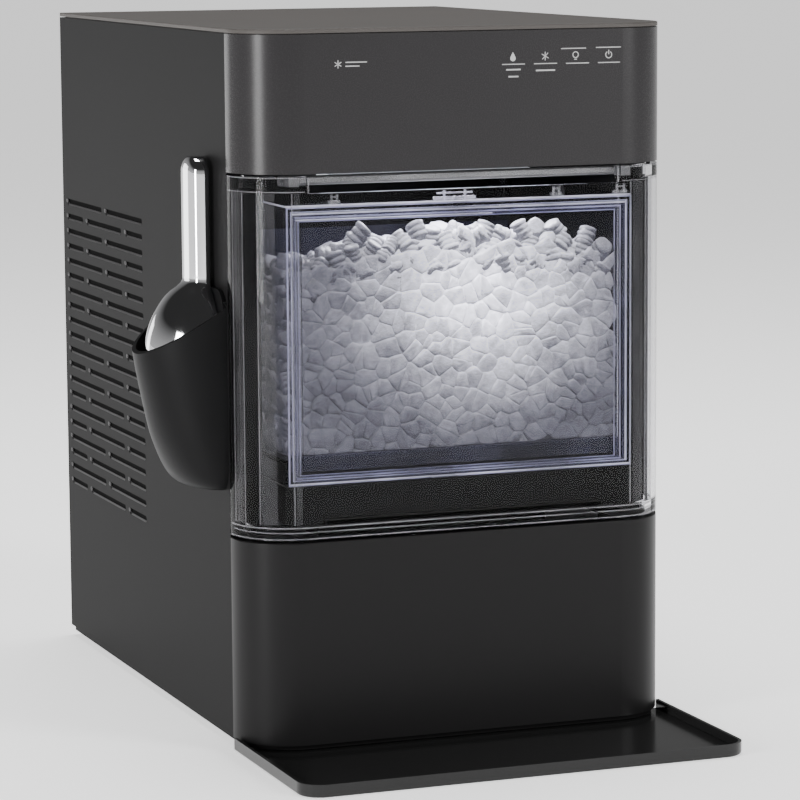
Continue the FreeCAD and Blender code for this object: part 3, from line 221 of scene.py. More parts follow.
def piece(name, vertices, faces, body, slot, material=None, smooth=True):
    """A mesh piece that rides on a CAD body. Its vertices are in the row frame, in metres."""
    mesh = bpy.data.meshes.new(name)
    mesh.from_pydata([tuple(v) for v in vertices], [], faces)
    mesh.validate()
    obj = bpy.data.objects.new(name, mesh)
    bpy.context.scene.collection.objects.link(obj)
    mesh.polygons.foreach_set("use_smooth", [smooth] * len(mesh.polygons))
    finish_with(obj, material or FINISH[slot])
    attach(obj, body)
    return obj


# ---------------------------------------------------------------- ice

random.seed(7)


def painted_glow_ice_material(name, glow_gain, up_facing_glow, level):
    """Pressed ice: milky, with a painted glow round the lamp's pool of light, and painted light that is
    brighter where a facet faces up.
    """
    material, nodes, links = new_material(name)
    shader = nodes["Principled BSDF"]
    coord = nodes.new("ShaderNodeTexCoord")
    link = links.new

    def noise(scale, detail):
        node = nodes.new("ShaderNodeTexNoise")
        node.inputs["Scale"].default_value = scale
        node.inputs["Detail"].default_value = detail
        link(coord.outputs["Object"], node.inputs["Vector"])
        return node.outputs["Fac"]

    def math_of(kind, first, second):
        node = nodes.new("ShaderNodeMath")
        node.operation = kind
        for number, value in enumerate((first, second)):
            if isinstance(value, (int, float)):
                node.inputs[number].default_value = value
            else:
                link(value, node.inputs[number])
        return node.outputs[0]

    fine, middle, cloud = noise(800, 4), noise(230, 5), noise(58, 2)
    relief = nodes.new("ShaderNodeBump")
    relief.inputs["Strength"].default_value = 0.6
    relief.inputs["Distance"].default_value = 0.0011
    link(math_of("ADD", math_of("MULTIPLY", fine, 0.4), middle), relief.inputs["Height"])
    link(relief.outputs["Normal"], shader.inputs["Normal"])

    # Painted light: the glow is strongest at the lamp's pool and fades with distance from it.
    place = nodes.new("ShaderNodeMapping")
    pool, pool_reach = at(16, 16, 264), (0.112, 0.17, 0.092)
    place.inputs["Location"].default_value = tuple(-c / r for c, r in zip(pool, pool_reach))
    place.inputs["Scale"].default_value = tuple(1 / r for r in pool_reach)
    link(coord.outputs["Object"], place.inputs["Vector"])
    reach = nodes.new("ShaderNodeVectorMath")
    reach.operation = "LENGTH"
    link(place.outputs["Vector"], reach.inputs[0])
    near = nodes.new("ShaderNodeMapRange")
    near.inputs["From Min"].default_value = 0.05
    near.inputs["From Max"].default_value = 1.1
    near.inputs["To Min"].default_value = 1.0
    near.inputs["To Max"].default_value = 0.0
    link(reach.outputs["Value"], near.inputs["Value"])
    near_power = math_of("ADD", math_of("POWER", near.outputs["Result"], 2.3), 0.03)

    # Painted light: facets that face up glow more, as if lit from above; cloudy patches and the middle noise
    # make the glow uneven.
    parts = nodes.new("ShaderNodeSeparateXYZ")
    link(relief.outputs["Normal"], parts.inputs[0])
    facing = math_of("ADD", math_of("MULTIPLY", parts.outputs["Z"], up_facing_glow), level)
    patches = math_of("SUBTRACT", math_of("MULTIPLY", cloud, 0.8), 0.27)
    facing = math_of("MAXIMUM", math_of("ADD", facing, patches), 0.05)
    grain = math_of("ADD", math_of("MULTIPLY", middle, 0.9), 0.45)
    power = math_of("MULTIPLY", math_of("MULTIPLY", near_power, facing), grain)
    link(math_of("MULTIPLY", power, glow_gain), shader.inputs["Emission Strength"])
    shader.inputs["Emission Color"].default_value = (0.97, 0.97, 1.0, 1)
    tone = nodes.new("ShaderNodeMix")
    tone.data_type = "RGBA"
    tone.inputs[6].default_value = (0.07, 0.07, 0.085, 1)
    tone.inputs[7].default_value = (0.20, 0.20, 0.225, 1)
    link(middle, tone.inputs["Factor"])
    link(tone.outputs[2], shader.inputs["Base Color"])
    shader.inputs["Roughness"].default_value = 0.25
    shader.inputs["IOR"].default_value = 1.31
    return material


# Both ices glow with painted light: the gain, the weight of facets that face up, and the glow of upright
# facets.
ICE = painted_glow_ice_material("pressed_ice_painted_glow", 6.4, 0.55, 0.42)
LOOSE_ICE = painted_glow_ice_material("loose_ice_painted_glow", 6.0, 1.0, 0.12)


def heap(x, y):
    """The height of the ice, in millimetres."""
    hump = 304 - 10 * ((x - 5) / 90) ** 2
    return hump - 0.24 * (y - 16) + 2.5 * math.sin(x * 0.11 + 1) + 1.5 * math.sin(x * 0.23)


def nugget(radius, length, turn, centre, around=14):
    """A nugget of pressed ice: three or four stacked collars of a rough cylinder, points in millimetres."""
    points, faces = [], []
    phase = [random.uniform(0, 6.28) for _ in range(3)]
    collars = 3 if length < 2.1 * radius else 4
    profile = [(0.0, 0.45), (0.02, 0.8)]
    for collar in range(collars):
        width = random.uniform(0.92, 1.06)
        low, high = collar / collars, (collar + 1) / collars
        profile += [(low + 0.05, width * 0.97), ((low + high) / 2, width), (high - 0.05, width * 0.96)]
        if collar < collars - 1:
            profile.append((high, 0.84))
    profile += [(0.98, 0.8), (1.0, 0.45)]
    for share, swell in profile:
        z = (share - 0.5) * length
        for side in range(around):
            angle = 2 * math.pi * side / around
            rough = 1 + 0.07 * math.sin(2 * angle + phase[0])
            rough += 0.05 * math.sin(5 * angle + phase[1] + share * 4)
            r = radius * swell * rough * random.uniform(0.91, 1.09)
            lean = 0.1 * radius * math.sin(angle + phase[2])
            points.append(Vector((r * math.cos(angle), r * math.sin(angle), z + lean)))
    rings = len(profile)
    for ring in range(rings - 1):
        for side in range(around):
            a, b = ring * around + side, ring * around + (side + 1) % around
            faces.append((a, b, b + around, a + around))
    faces.append(tuple(range(around))[::-1])
    faces.append(tuple(range((rings - 1) * around, rings * around)))
    return [turn @ p + centre for p in points], faces


def ice_pile():
    """Loose nuggets over the packed ice, thickest at the front where they are seen."""
    vertices, faces = [], []

    def add(x, y, z, size, lean=1.0):
        turn = Matrix.Rotation(random.uniform(-1, 1) * 1.5 * lean, 3, "X")
        turn = turn @ Matrix.Rotation(random.uniform(-1, 1) * 1.5 * lean, 3, "Y")
        radius = size * random.uniform(0.88, 1.12)
        points, patches = nugget(radius, radius * random.uniform(1.7, 2.5), turn, Vector((x, y, z)))
        start = len(vertices)
        for p in points:
            if p.y < PANE_Y + 1.2:
                p.y = PANE_Y + 1.2 * math.exp((p.y - PANE_Y - 1.2) / 2.4)
            p.x = min(max(p.x, -BIN_HALF), BIN_HALF)
            vertices.append(at(*p))
        faces.extend(tuple(start + n for n in patch) for patch in patches)

    for row, drop in enumerate((19.0, 10.0, 1.0)):
        x = -97.0 + 4 * (row % 2)
        while x < 99:
            y = 21.5 + 2.5 * row
            if row < 2 or random.random() < 0.62:
                add(x + random.uniform(-2, 2), y + random.uniform(-1, 2),
                    heap(x, y) - drop + random.uniform(-3, 3), 5.4, 0.6)
            x += 10.2 + random.uniform(-0.6, 1.6)
    y = 33.0
    while y < 185:
        x = -99.0
        while x < 100:
            add(x + random.uniform(-3, 3), y + random.uniform(-3, 3),
                heap(x, y) - random.uniform(2, 9), 5.5)
            x += 10.5
        y += 10.0
    for y in (30.0, 40.0, 50.0, 60.0, 70.0):
        z = 178.0
        while z < heap(-100, y) - 8:
            add(-99.5, y + random.uniform(-3, 3), z + random.uniform(-2, 2), 5.6)
            z += 9.0
    return vertices, faces


def nearer(seed, others, window):
    """The part of a window that lies nearer to a seed than to the others."""
    polygon = list(window)
    for other in others:
        middle, away = (seed + other) / 2, other - seed
        kept = []
        for a, b in zip(polygon, polygon[1:] + polygon[:1]):
            da, db = (a - middle).dot(away), (b - middle).dot(away)
            if da <= 0:
                kept.append(a)
            if da * db < 0:
                kept.append(a + (b - a) * (da / (da - db)))
        polygon = kept
    return polygon


# Spacing of the lumps in millimetres.
LUMP_WIDE, LUMP_HIGH = 8.8, 7.2
# A lump's rings, from its sunken rim inwards: (scale, depth in mm, roughness in mm).
LUMP_RINGS = ((1.04, 2.6, 0.0), (0.98, 0.6, 0.35), (0.8, 0.15, 0.3), (0.45, 0.0, 0.45))


def pressed_front():
    """Ice crushed flat against the bin's front: close-set lumps, each with its own tilt and chipped rim."""
    seeds = []
    z, row = 168.0, 0
    while z < 310:
        x = -104.0 + (row % 2) * LUMP_WIDE / 2
        while x < 108:
            if random.random() < 0.8 or abs(x) > 84:
                seeds.append(Vector((x + random.uniform(-4.8, 4.8), z + random.uniform(-4.2, 4.2))))
            x += LUMP_WIDE
        z += LUMP_HIGH
        row += 1
    vertices, faces = [], []
    for seed in seeds:
        if not (-101 < seed.x < 102 and 168 < seed.y < heap(seed.x, 16) - 12):
            continue
        others = [other for other in seeds if 0 < (other - seed).length < 24]
        window = [seed + Vector((r * math.cos(t), r * math.sin(t))) for r, t in
                  ((random.uniform(10.5, 14.0), math.radians(40 * n)) for n in range(9))]
        polygon = nearer(seed, others, window)
        if len(polygon) < 3:
            continue
        outline = []
        for a, b in zip(polygon, polygon[1:] + polygon[:1]):
            outline.append(a)
            if (b - a).length > 3:
                chip = Vector((random.uniform(-0.45, 0.45), random.uniform(-0.45, 0.45)))
                outline.append((a + b) / 2 + chip)
        tilt = Vector((random.uniform(-0.3, 0.3), random.uniform(-0.4, 0.2)))
        base = random.uniform(0.2, 2.2)
        count, start = len(outline), len(vertices)
        for scale, depth, rough in LUMP_RINGS:
            for p in outline:
                q = seed + (p - seed) * (scale + random.uniform(-0.05, 0.03) * (rough > 0))
                slope = tilt.dot(q - seed) * (scale < 0.99)
                depth_here = max(PANE_Y + base + depth + slope + random.uniform(-rough, rough), PANE_Y)
                low = ICE_FLOOR + random.uniform(0, 0.4)
                vertices.append(at(min(max(q.x, -ICE_HALF), ICE_HALF), depth_here, max(q.y, low)))
        crown = max(PANE_Y + base + random.uniform(-0.3, 0.2), PANE_Y)
        vertices.append(at(seed.x, crown, max(seed.y, ICE_FLOOR + 0.2)))
        for ring in range(3):
            for n in range(count):
                m = (n + 1) % count
                a = start + ring * count
                faces.append((a + n, a + m, a + count + m, a + count + n))
        last = start + 3 * count
        for n in range(count):
            faces.append((last + n, last + (n + 1) % count, last + count))
    return vertices, faces


ice_vertices, ice_faces = ice_pile()
piece("ice_nuggets", ice_vertices, ice_faces, "drawer", "white_plastic", LOOSE_ICE)
front_vertices, front_faces = pressed_front()
piece("ice_front", front_vertices, front_faces, "drawer", "white_plastic", ICE)


CORE_FRONT, CORE_BACK, CORE_HALF, CORE_FLOOR = 26, 188, 100, 172


def ice_core():
    """The packed ice behind the outer nuggets."""
    vertices, faces = [], []
    steps_x, steps_y = 20, 16
    for j in range(steps_y + 1):
        y = CORE_FRONT + (CORE_BACK - CORE_FRONT) * j / steps_y
        for i in range(steps_x + 1):
            x = -CORE_HALF + 2 * CORE_HALF * i / steps_x
            vertices.append(at(x, y, heap(x, y) - 8))
    low = len(vertices)
    for j in range(steps_y + 1):
        y = CORE_FRONT + (CORE_BACK - CORE_FRONT) * j / steps_y
        for i in range(steps_x + 1):
            vertices.append(at(-CORE_HALF + 2 * CORE_HALF * i / steps_x, y, CORE_FLOOR))
    wide = steps_x + 1
    for j in range(steps_y):
        for i in range(steps_x):
            a = j * wide + i
            faces.append((a, a + 1, a + wide + 1, a + wide))
            faces.append((low + a, low + a + wide, low + a + wide + 1, low + a + 1))
    for i in range(steps_x):
        faces.append((i, low + i, low + i + 1, i + 1))
        a = steps_y * wide + i
        faces.append((a, a + 1, low + a + 1, low + a))
    for j in range(steps_y):
        a = j * wide
        faces.append((a, a + wide, low + a + wide, low + a))
        b = a + steps_x
        faces.append((b, low + b, low + b + wide, b + wide))
    return vertices, faces


core_vertices, core_faces = ice_core()
piece("ice_core", core_vertices, core_faces, "drawer", "white_plastic", ICE)

# ---------------------------------------------------------------- edges of the clear mouldings, in painted highlights, reflections and shade

def edge_light(name, color, power, alpha):
    """Painted light, standing in for light caught by a moulded edge: a thin translucent line that glows,
    uneven along its length.
    """
    material, nodes, links = new_material(name)
    shader = nodes["Principled BSDF"]
    coord = nodes.new("ShaderNodeTexCoord")
    noise = nodes.new("ShaderNodeTexNoise")
    noise.inputs["Scale"].default_value = 28
    noise.inputs["Detail"].default_value = 3
    links.new(coord.outputs["Object"], noise.inputs["Vector"])
    for socket, top in (("Emission Strength", power), ("Alpha", alpha)):
        spread = nodes.new("ShaderNodeMapRange")
        spread.inputs["From Min"].default_value = 0.3
        spread.inputs["From Max"].default_value = 0.7
        spread.inputs["To Min"].default_value = top * 0.35
        spread.inputs["To Max"].default_value = top
        links.new(noise.outputs["Fac"], spread.inputs["Value"])
        links.new(spread.outputs["Result"], shader.inputs[socket])
    shader.inputs["Base Color"].default_value = (*color, 1)
    shader.inputs["Emission Color"].default_value = (*color, 1)
    shader.inputs["Roughness"].default_value = 0.25
    return material


# Painted highlights, reflections and shade for the clear mouldings: each of them glows a little.
VIOLET_EDGE_HIGHLIGHT = edge_light("violet_edge_highlight", (0.45, 0.45, 0.64), 0.3, 0.8)
VIOLET_PAINTED_BAND = edge_light("violet_painted_band", (0.12, 0.12, 0.24), 0.1, 0.35)
BAR_SHINE = edge_light("bar_shine", (0.35, 0.35, 0.36), 0.14, 0.6)
WHITE_EDGE_HIGHLIGHT = edge_light("white_edge_highlight", (0.8, 0.8, 0.92), 0.5, 0.65)
SMOKE_EDGE_HIGHLIGHT = edge_light("smoke_edge_highlight", (0.45, 0.45, 0.47), 0.12, 0.42)
SMOKE_PAINTED_BAND = edge_light("smoke_painted_band", (0.3, 0.3, 0.31), 0.03, 0.13)
NAVY_PAINTED_SHADE = edge_light("navy_shade", (0.012, 0.012, 0.032), 0.35, 1.0)


def strip(name, lines, material, slot_name="violet_clear"):
    """Thin bars along lines of points: each line is (points, half height, half depth) in millimetres."""
    vertices, faces = [], []
    for points, high, deep in lines:
        points = [Vector(p) for p in points]
        start = len(vertices)
        closed = (points[0] - points[-1]).length < 0.01
        for n, p in enumerate(points):
            before = points[n - 1] if n else (points[-2] if closed else p)
            after = points[n + 1] if n + 1 < len(points) else (points[1] if closed else p)
            if p != before and p != after:
                along = (after - p).normalized() + (p - before).normalized()
            else:
                along = after - before
            along.normalize()
            if abs(along.y) < 0.3 and abs(along.z) > 0.3:
                inward = Vector((0, 1, 0))
            else:
                inward = Vector((-along.y, along.x, 0)).normalized()
            across = along.cross(inward).normalized()
            bend = max(0.5, abs(along.dot((after - p).normalized() if p != after else along)))
            for u, v in ((-1, -1), (1, -1), (1, 1), (-1, 1)):
                vertices.append(at(*(p + across * (u * high / bend) + inward * (v * deep))))
        for n in range(len(points) - 1):
            for k in range(4):
                m = (k + 1) % 4
                a = start + n * 4
                faces.append((a + k, a + m, a + 4 + m, a + 4 + k))
        if not closed:
            faces.append((start, start + 3, start + 2, start + 1))
            end = start + 4 * (len(points) - 1)
            faces.append((end, end + 1, end + 2, end + 3))
    return piece(name, vertices, faces, "drawer", slot_name, material, smooth=False)


def ring_line(half, low, high, y):
    """A closed upright rectangle about the cabinet's middle."""
    return [(-half, y, low), (half, y, low), (half, y, high), (-half, y, high), (-half, y, low)]


def plan_line(inset, z, start=-90, end=90):
    """A line round the front at one height, from an angle on the left corner to one on the right."""
    radius = CORNER_RADIUS - inset
    points = []
    for side, first, last in ((-1, start, 0), (1, 0, end)):
        if first < last:
            for n in range(13):
                angle = math.radians(first + (last - first) * n / 12)
                points.append((side * CORNER_CENTRE + radius * math.sin(angle),
                               CORNER_RADIUS - radius * math.cos(angle), z))
    return points


# Painted highlights and reflections along the bin's moulded edges, its top rim and the window's rim.
strip("bin_edges", [
    (ring_line(107.0, 157.6, 317.4, 7.7), 0.45, 0.2), (ring_line(104.6, 160.2, 315.0, 7.9), 0.3, 0.2),
    (ring_line(101.6, 161.2, 311.6, 10.2), 0.45, 0.2), (ring_line(98.8, 162.4, 309.2, 12.6), 0.3, 0.2),
], VIOLET_EDGE_HIGHLIGHT)
strip("bin_painted_bands", [
    (ring_line(103.2, 159.6, 313.3, 8.5), 1.0, 0.15), (ring_line(100.2, 161.6, 310.4, 11.4), 0.8, 0.15),
], VIOLET_PAINTED_BAND)
strip("bin_top_rim", [
    ([(-107, 8.2, 318.3), (107, 8.2, 318.3)], 0.5, 0.4),
    ([(-104, 8.0, 313.9), (104, 8.0, 313.9)], 0.5, 0.2),
    ([(-107.2, 9, 318.2), (-107.2, 60, 318.2)], 0.4, 0.4),
    ([(-101, 10, 310.3), (20, 10, 310.3)], 0.35, 0.2),
    ([(-106.6, 7.6, 158.2), (106.6, 7.6, 158.2)], 0.35, 0.15),
    ([(103.9, 7.8, 160), (103.9, 7.8, 315)], 0.3, 0.15),
], WHITE_EDGE_HIGHLIGHT)
strip("window_rim_lines", [
    (plan_line(0.3, 127.3), 0.35, 0.25), (plan_line(0.5, 133.8), 0.4, 0.25),
    (plan_line(2.9, 130.6), 0.3, 0.2),
    (plan_line(0.4, 335.0, -90, 0), 0.35, 0.25), (plan_line(0.6, 327.0, -90, 0), 0.35, 0.25),
    (plan_line(0.4, 335.0, 0, 90), 0.35, 0.25), (plan_line(0.6, 327.0, 0, 90), 0.35, 0.25),
    ([(-96.3, 1.0, 326.2), (-96.3, 1.0, 335)], 0.4, 0.4),
    ([(96.3, 1.0, 326.2), (96.3, 1.0, 335)], 0.4, 0.4),
], SMOKE_EDGE_HIGHLIGHT, slot_name="smoke_clear")


def corner_streaks(spans, inset):
    """Where upright bands lie inside the window's corners. Angles on the left corner are negative."""
    lines = []
    radius = CORNER_RADIUS - inset
    for first, last in spans:
        middle = math.radians((first + last) / 2)
        side = -1 if first < 0 else 1
        x = side * CORNER_CENTRE + radius * math.sin(middle)
        y = CORNER_RADIUS - radius * math.cos(middle)
        half = radius * math.radians(abs(last - first)) / 2
        lines.append(((x, y), middle, half))
    return lines


def upright_bands(name, spans, inset, material):
    """Flat upright bars over the window's height, one for each span of angles."""
    vertices, faces = [], []
    for (x, y), angle, half in corner_streaks(spans, inset):
        along = (math.cos(angle), math.sin(angle))
        inward = (-math.sin(angle), math.cos(angle))
        start = len(vertices)
        for z in (WINDOW_LOW, WINDOW_HIGH):
            for u, v in ((-1, 0), (1, 0), (1, 0.3), (-1, 0.3)):
                vertices.append(at(x + along[0] * u * half + inward[0] * v,
                                   y + along[1] * u * half + inward[1] * v, z))
        for k in range(4):
            m = (k + 1) % 4
            faces.append((start + k, start + m, start + 4 + m, start + 4 + k))
        faces += [(start + 3, start + 2, start + 1, start), (start + 4, start + 5, start + 6, start + 7)]
    return piece(name, vertices, faces, "drawer", "smoke_clear", material, smooth=False)


# Painted reflections: glowing upright streaks and bands inside the window's corners.
upright_bands("window_painted_streaks", [
    (-88, -86), (-70, -68.6), (-50, -48.8), (-13, -11.5), (12, 13.6), (35, 36.4), (84, 86),
], 3.2, SMOKE_EDGE_HIGHLIGHT)
upright_bands("window_painted_bands", [(-84, -72), (-48, -30), (-10, -4), (16, 30), (60, 78)], 3.4, SMOKE_PAINTED_BAND)


def clip(x, wide):
    """A clear catch on the bin's top edge: two level bars and two upright ribs."""
    return [
        ([(x - wide / 2, 9.4, 320.0), (x + wide / 2, 9.4, 320.0)], 0.9, 0.9),
        ([(x - wide / 2 + 2, 9.0, 323.0), (x + wide / 2 - 2, 9.0, 323.0)], 0.5, 0.6),
        ([(x - wide / 4, 8.8, 318.8), (x - wide / 4, 8.8, 324.6)], 0.6, 0.5),
        ([(x + wide / 4, 8.8, 318.8), (x + wide / 4, 8.8, 324.6)], 0.6, 0.5),
    ]


def sheet_at(name, corners, material):
    """A thin upright sheet across the bin from corner to corner: (x, y, z), (x, y, z)."""
    (x0, y, z0), (x1, _, z1) = corners
    vertices = [at(x, y + d, z) for d in (0, 0.3) for x, z in ((x0, z0), (x1, z0), (x1, z1), (x0, z1))]
    faces = [(0, 1, 2, 3), (7, 6, 5, 4), (0, 4, 5, 1), (1, 5, 6, 2), (2, 6, 7, 3), (3, 7, 4, 0)]
    return piece(name, vertices, faces, "drawer", "violet_clear", material, smooth=False)


# Painted shade: navy sheets with a faint glow, on the bin's floor under the ice and on its rear, where there
# is only shade.
sheet_at("bin_floor_shade", ((-103, 16.6, 163.8), (103, 16.6, 172.9)), NAVY_PAINTED_SHADE)
sheet_at("bin_rear_shade", ((-103, 187.0, 230), (103, 187.0, 289)), NAVY_PAINTED_SHADE)
# A painted band along the bin's floor line, and a painted highlight along the grip bar.
strip("bin_floor_line", [([(-102, 15.9, 173.0), (102, 15.9, 173.0)], 0.25, 0.2)], VIOLET_PAINTED_BAND)
strip("grip_bar_shine", [([(-104, 14.6, 332.6), (104, 14.6, 332.6)], 1.3, 0.15)],
      BAR_SHINE, slot_name="black_plastic")
# The catches are drawn as painted highlights.
strip("bin_catches", clip(-4, 26), WHITE_EDGE_HIGHLIGHT)
strip("bin_side_catches", clip(-78, 7) + clip(60, 7) + clip(101, 9), SMOKE_EDGE_HIGHLIGHT)

# ---------------------------------------------------------------- marks on the touch fascia

PRINT = surface("printed_grey", (0.42, 0.42, 0.42), 0.5, 0, 900, 0.02)


def flat_marks(name, outlines):
    """Thin printed shapes just proud of the fascia: each outline is a list of (x, z) in millimetres."""
    vertices, faces = [], []
    for outline in outlines:
        count, start = len(outline), len(vertices)
        vertices += [at(x, -0.08, z) for x, z in outline] + [at(x, 0.1, z) for x, z in outline]
        faces.append(tuple(start + n for n in range(count))[::-1])
        for n in range(count):
            m = (n + 1) % count
            faces.append((start + n, start + m, start + count + m, start + count + n))
    return piece(name, vertices, faces, "cabinet", "grey_plastic", PRINT, smooth=False)


def bar_mark(x0, x1, z, thick=0.5):
    """A short level bar."""
    return [(x0, z - thick / 2), (x1, z - thick / 2), (x1, z + thick / 2), (x0, z + thick / 2)]


def ring_mark(x, z, radius, thick, start=0, end=360, steps=20):
    """A ring, or a part of one, as small quads."""
    quads = []
    for n in range(steps):
        a = math.radians(start + (end - start) * n / steps)
        b = math.radians(start + (end - start) * (n + 1) / steps)
        inner, outer = radius - thick / 2, radius + thick / 2
        quads.append([(x + r * math.cos(t), z + r * math.sin(t))
                      for r, t in ((inner, a), (outer, a), (outer, b), (inner, b))])
    return quads


def stroke(x0, z0, x1, z1, thick=0.55):
    """A straight stroke from one point to another."""
    length = math.hypot(x1 - x0, z1 - z0)
    nx, nz = -(z1 - z0) / length * thick / 2, (x1 - x0) / length * thick / 2
    return [(x0 + nx, z0 + nz), (x0 - nx, z0 - nz), (x1 - nx, z1 - nz), (x1 + nx, z1 + nz)]


def snowflake(x, z, radius):
    """Three strokes crossed like a plain snowflake."""
    arms = []
    for n in range(3):
        a = math.radians(90 + 60 * n)
        dx, dz = radius * math.cos(a), radius * math.sin(a)
        arms.append(stroke(x - dx, z - dz, x + dx, z + dz, 0.45))
    return arms


drop_turns = [math.radians(t) for t in range(150, 391, 20)]
drop = [(29.2 + 1.7 * math.cos(t), 399.9 + 1.7 * math.sin(t)) for t in drop_turns]
flat_marks("icon_filter", [drop + [(29.2, 403.6)]])
flat_marks("icon_clean", snowflake(49.4, 400.8, 2.5)[:2] + [stroke(47.6, 399.0, 51.2, 402.6, 0.45)])
flat_marks("icon_light", ring_mark(68.6, 401.2, 1.7, 0.5) + [stroke(67.8, 398.6, 69.4, 398.6)])
flat_marks("icon_power", ring_mark(89.6, 400.8, 1.9, 0.5, 120, 420) + [stroke(89.6, 401.0, 89.6, 403.6)])
flat_marks("icon_status", snowflake(-78.0, 398.8, 2.3) + [
    bar_mark(-73.5, -60.5, 399.8, 0.6), bar_mark(-73.5, -65.0, 397.6, 0.6)])
flat_marks("key_lines", [
    bar_mark(22.4, 36.7, 396.5), bar_mark(42.4, 56.8, 396.5),
    bar_mark(62.5, 77.1, 396.3), bar_mark(82.8, 96.8, 396.3),
    bar_mark(59.4, 75.2, 404.9), bar_mark(81.5, 97.4, 405.1),
    bar_mark(25.0, 34.0, 393.4, 0.8), bar_mark(26.4, 32.6, 389.4, 0.8), bar_mark(43.6, 55.6, 392.6, 0.8)])

# ---------------------------------------------------------------- louvres

# Each row of slots: its height, and whether its slots are the long or the short ones.
TOP_ROW, ROW_STEP, ROWS = 294.6, 9.83, 20
SLOT_ROWS = [(TOP_ROW - ROW_STEP * n, n % 2) for n in range(ROWS)]
LONG = ((207.0, 287.7), (297.3, 378.0))
SHORT = ((207.0, 243.5), (253.2, 331.8), (341.5, 378.0))


def louvre_lips(side):
    """The pressed lip in the lower edge of each slot, and the small raised curl at the slot's rear end."""
    vertices, faces = [], []
    face_x = -CABINET_HALF * side
    profile = ((0.0, -2.15), (0.1, -1.9), (0.62, -1.1), (0.68, -1.1), (0.68, -2.1))
    for z, kind in SLOT_ROWS:
        for y0, y1 in (LONG if kind == 0 else SHORT):
            start = len(vertices)
            steps = ((y0 + 0.6, 0.0), (y0 + 2.2, 1.0), (y1 - 2.2, 1.0), (y1 - 0.6, 0.0))
            for y, share in steps:
                for depth, rise in profile:
                    vertices.append(at(face_x + side * (0.15 + depth), y, z + rise * (0.3 + 0.7 * share)))
            ring = len(profile)
            for step in range(3):
                for n in range(ring):
                    m = (n + 1) % ring
                    a = start + step * ring
                    faces.append((a + n, a + m, a + ring + m, a + ring + n))
            faces.append(tuple(start + n for n in range(ring)))
            faces.append(tuple(start + 3 * ring + n for n in range(ring))[::-1])
            curl = len(vertices)
            for wide, out in ((1.8, -0.2), (1.3, 0.35), (0.5, 0.55)):
                for n in range(8):
                    angle = math.pi * n / 4
                    vertices.append(at(face_x - side * out, y1 + 0.6 + wide * math.cos(angle),
                                       z + 0.9 + wide * math.sin(angle)))
            for n in range(8):
                m = (n + 1) % 8
                faces.append((curl + n, curl + m, curl + 8 + m, curl + 8 + n))
                faces.append((curl + 8 + n, curl + 8 + m, curl + 16 + m, curl + 16 + n))
            faces.append(tuple(curl + 16 + n for n in range(8)))
            faces.append(tuple(curl + n for n in range(8))[::-1])
    return vertices, faces


def louvre_shade_sheets(side):
    """A dark sheet behind each slot: painted shade inside the slot."""
    vertices, faces = [], []
    for z, kind in SLOT_ROWS:
        for y0, y1 in (LONG if kind == 0 else SHORT):
            start = len(vertices)
            outline = ((y0 + 0.4, 0), (y0 + 1.6, -1.95), (y1 - 1.6, -1.95),
                       (y1 - 0.4, 0), (y1 - 1.6, 1.95), (y0 + 1.6, 1.95))
            for depth in (0.8, 0.95):
                x = (-CABINET_HALF + depth) * side
                vertices += [at(x, y, z + dz) for y, dz in outline]
            faces.append(tuple(start + n for n in range(6)))
            faces.append(tuple(start + 6 + n for n in range(6))[::-1])
            for n in range(6):
                m = (n + 1) % 6
                faces.append((start + n, start + 6 + n, start + 6 + m, start + m))
    return vertices, faces


# Painted shade: a dark sheet inside each slot.
PAINTED_SLOT_SHADE = surface("slot_painted_shade", (0.0035, 0.0035, 0.0035), 0.8, 0, 1200, 0.3, Specular_IOR_Level=0.02)
for side, name in ((1, "left"), (-1, "right")):
    # Each side gets painted shade in the slots and a painted highlight on the lips.
    shade_sheet_vertices, shade_sheet_faces = louvre_shade_sheets(side)
    piece(f"{name}_louvre_shade_sheets", shade_sheet_vertices, shade_sheet_faces, "cabinet", "black_plastic", PAINTED_SLOT_SHADE,
          smooth=False)
    lip_vertices, lip_faces = louvre_lips(side)
    piece(f"{name}_louvre_lips", lip_vertices, lip_faces, "cabinet", "black_steel", LIP_PAINTED_HIGHLIGHT, smooth=False)

# ---------------------------------------------------------------- scoop

SCOOP_X, SCOOP_Y, SCOOP_WIDEST = -136.4, 74.5, 228.0
BOWL_OUT, BOWL_HALF, GRIP_OUT, GRIP_HALF = 35.0, 34.0, 10.5, 14.4
BOWL_BELOW, BOWL_ABOVE = 71.5, 44.0
SHOULDER_TOP, NECK_LOW, NECK_HIGH = 240, 252, 264
GRIP_END, GRIP_CAP = 335, 9.2
SCOOP_WALL = 1.6


def smooth_more(a, b, power=5):
    """The larger of two lengths, with a fillet where they cross."""
    return (max(a, 0) ** power + b ** power) ** (1 / power)


def ease(value, low, high):
    """A smooth step from 0 to 1 between two values."""
    share = min(max((value - low) / (high - low), 0), 1)
    return share * share * (3 - 2 * share)


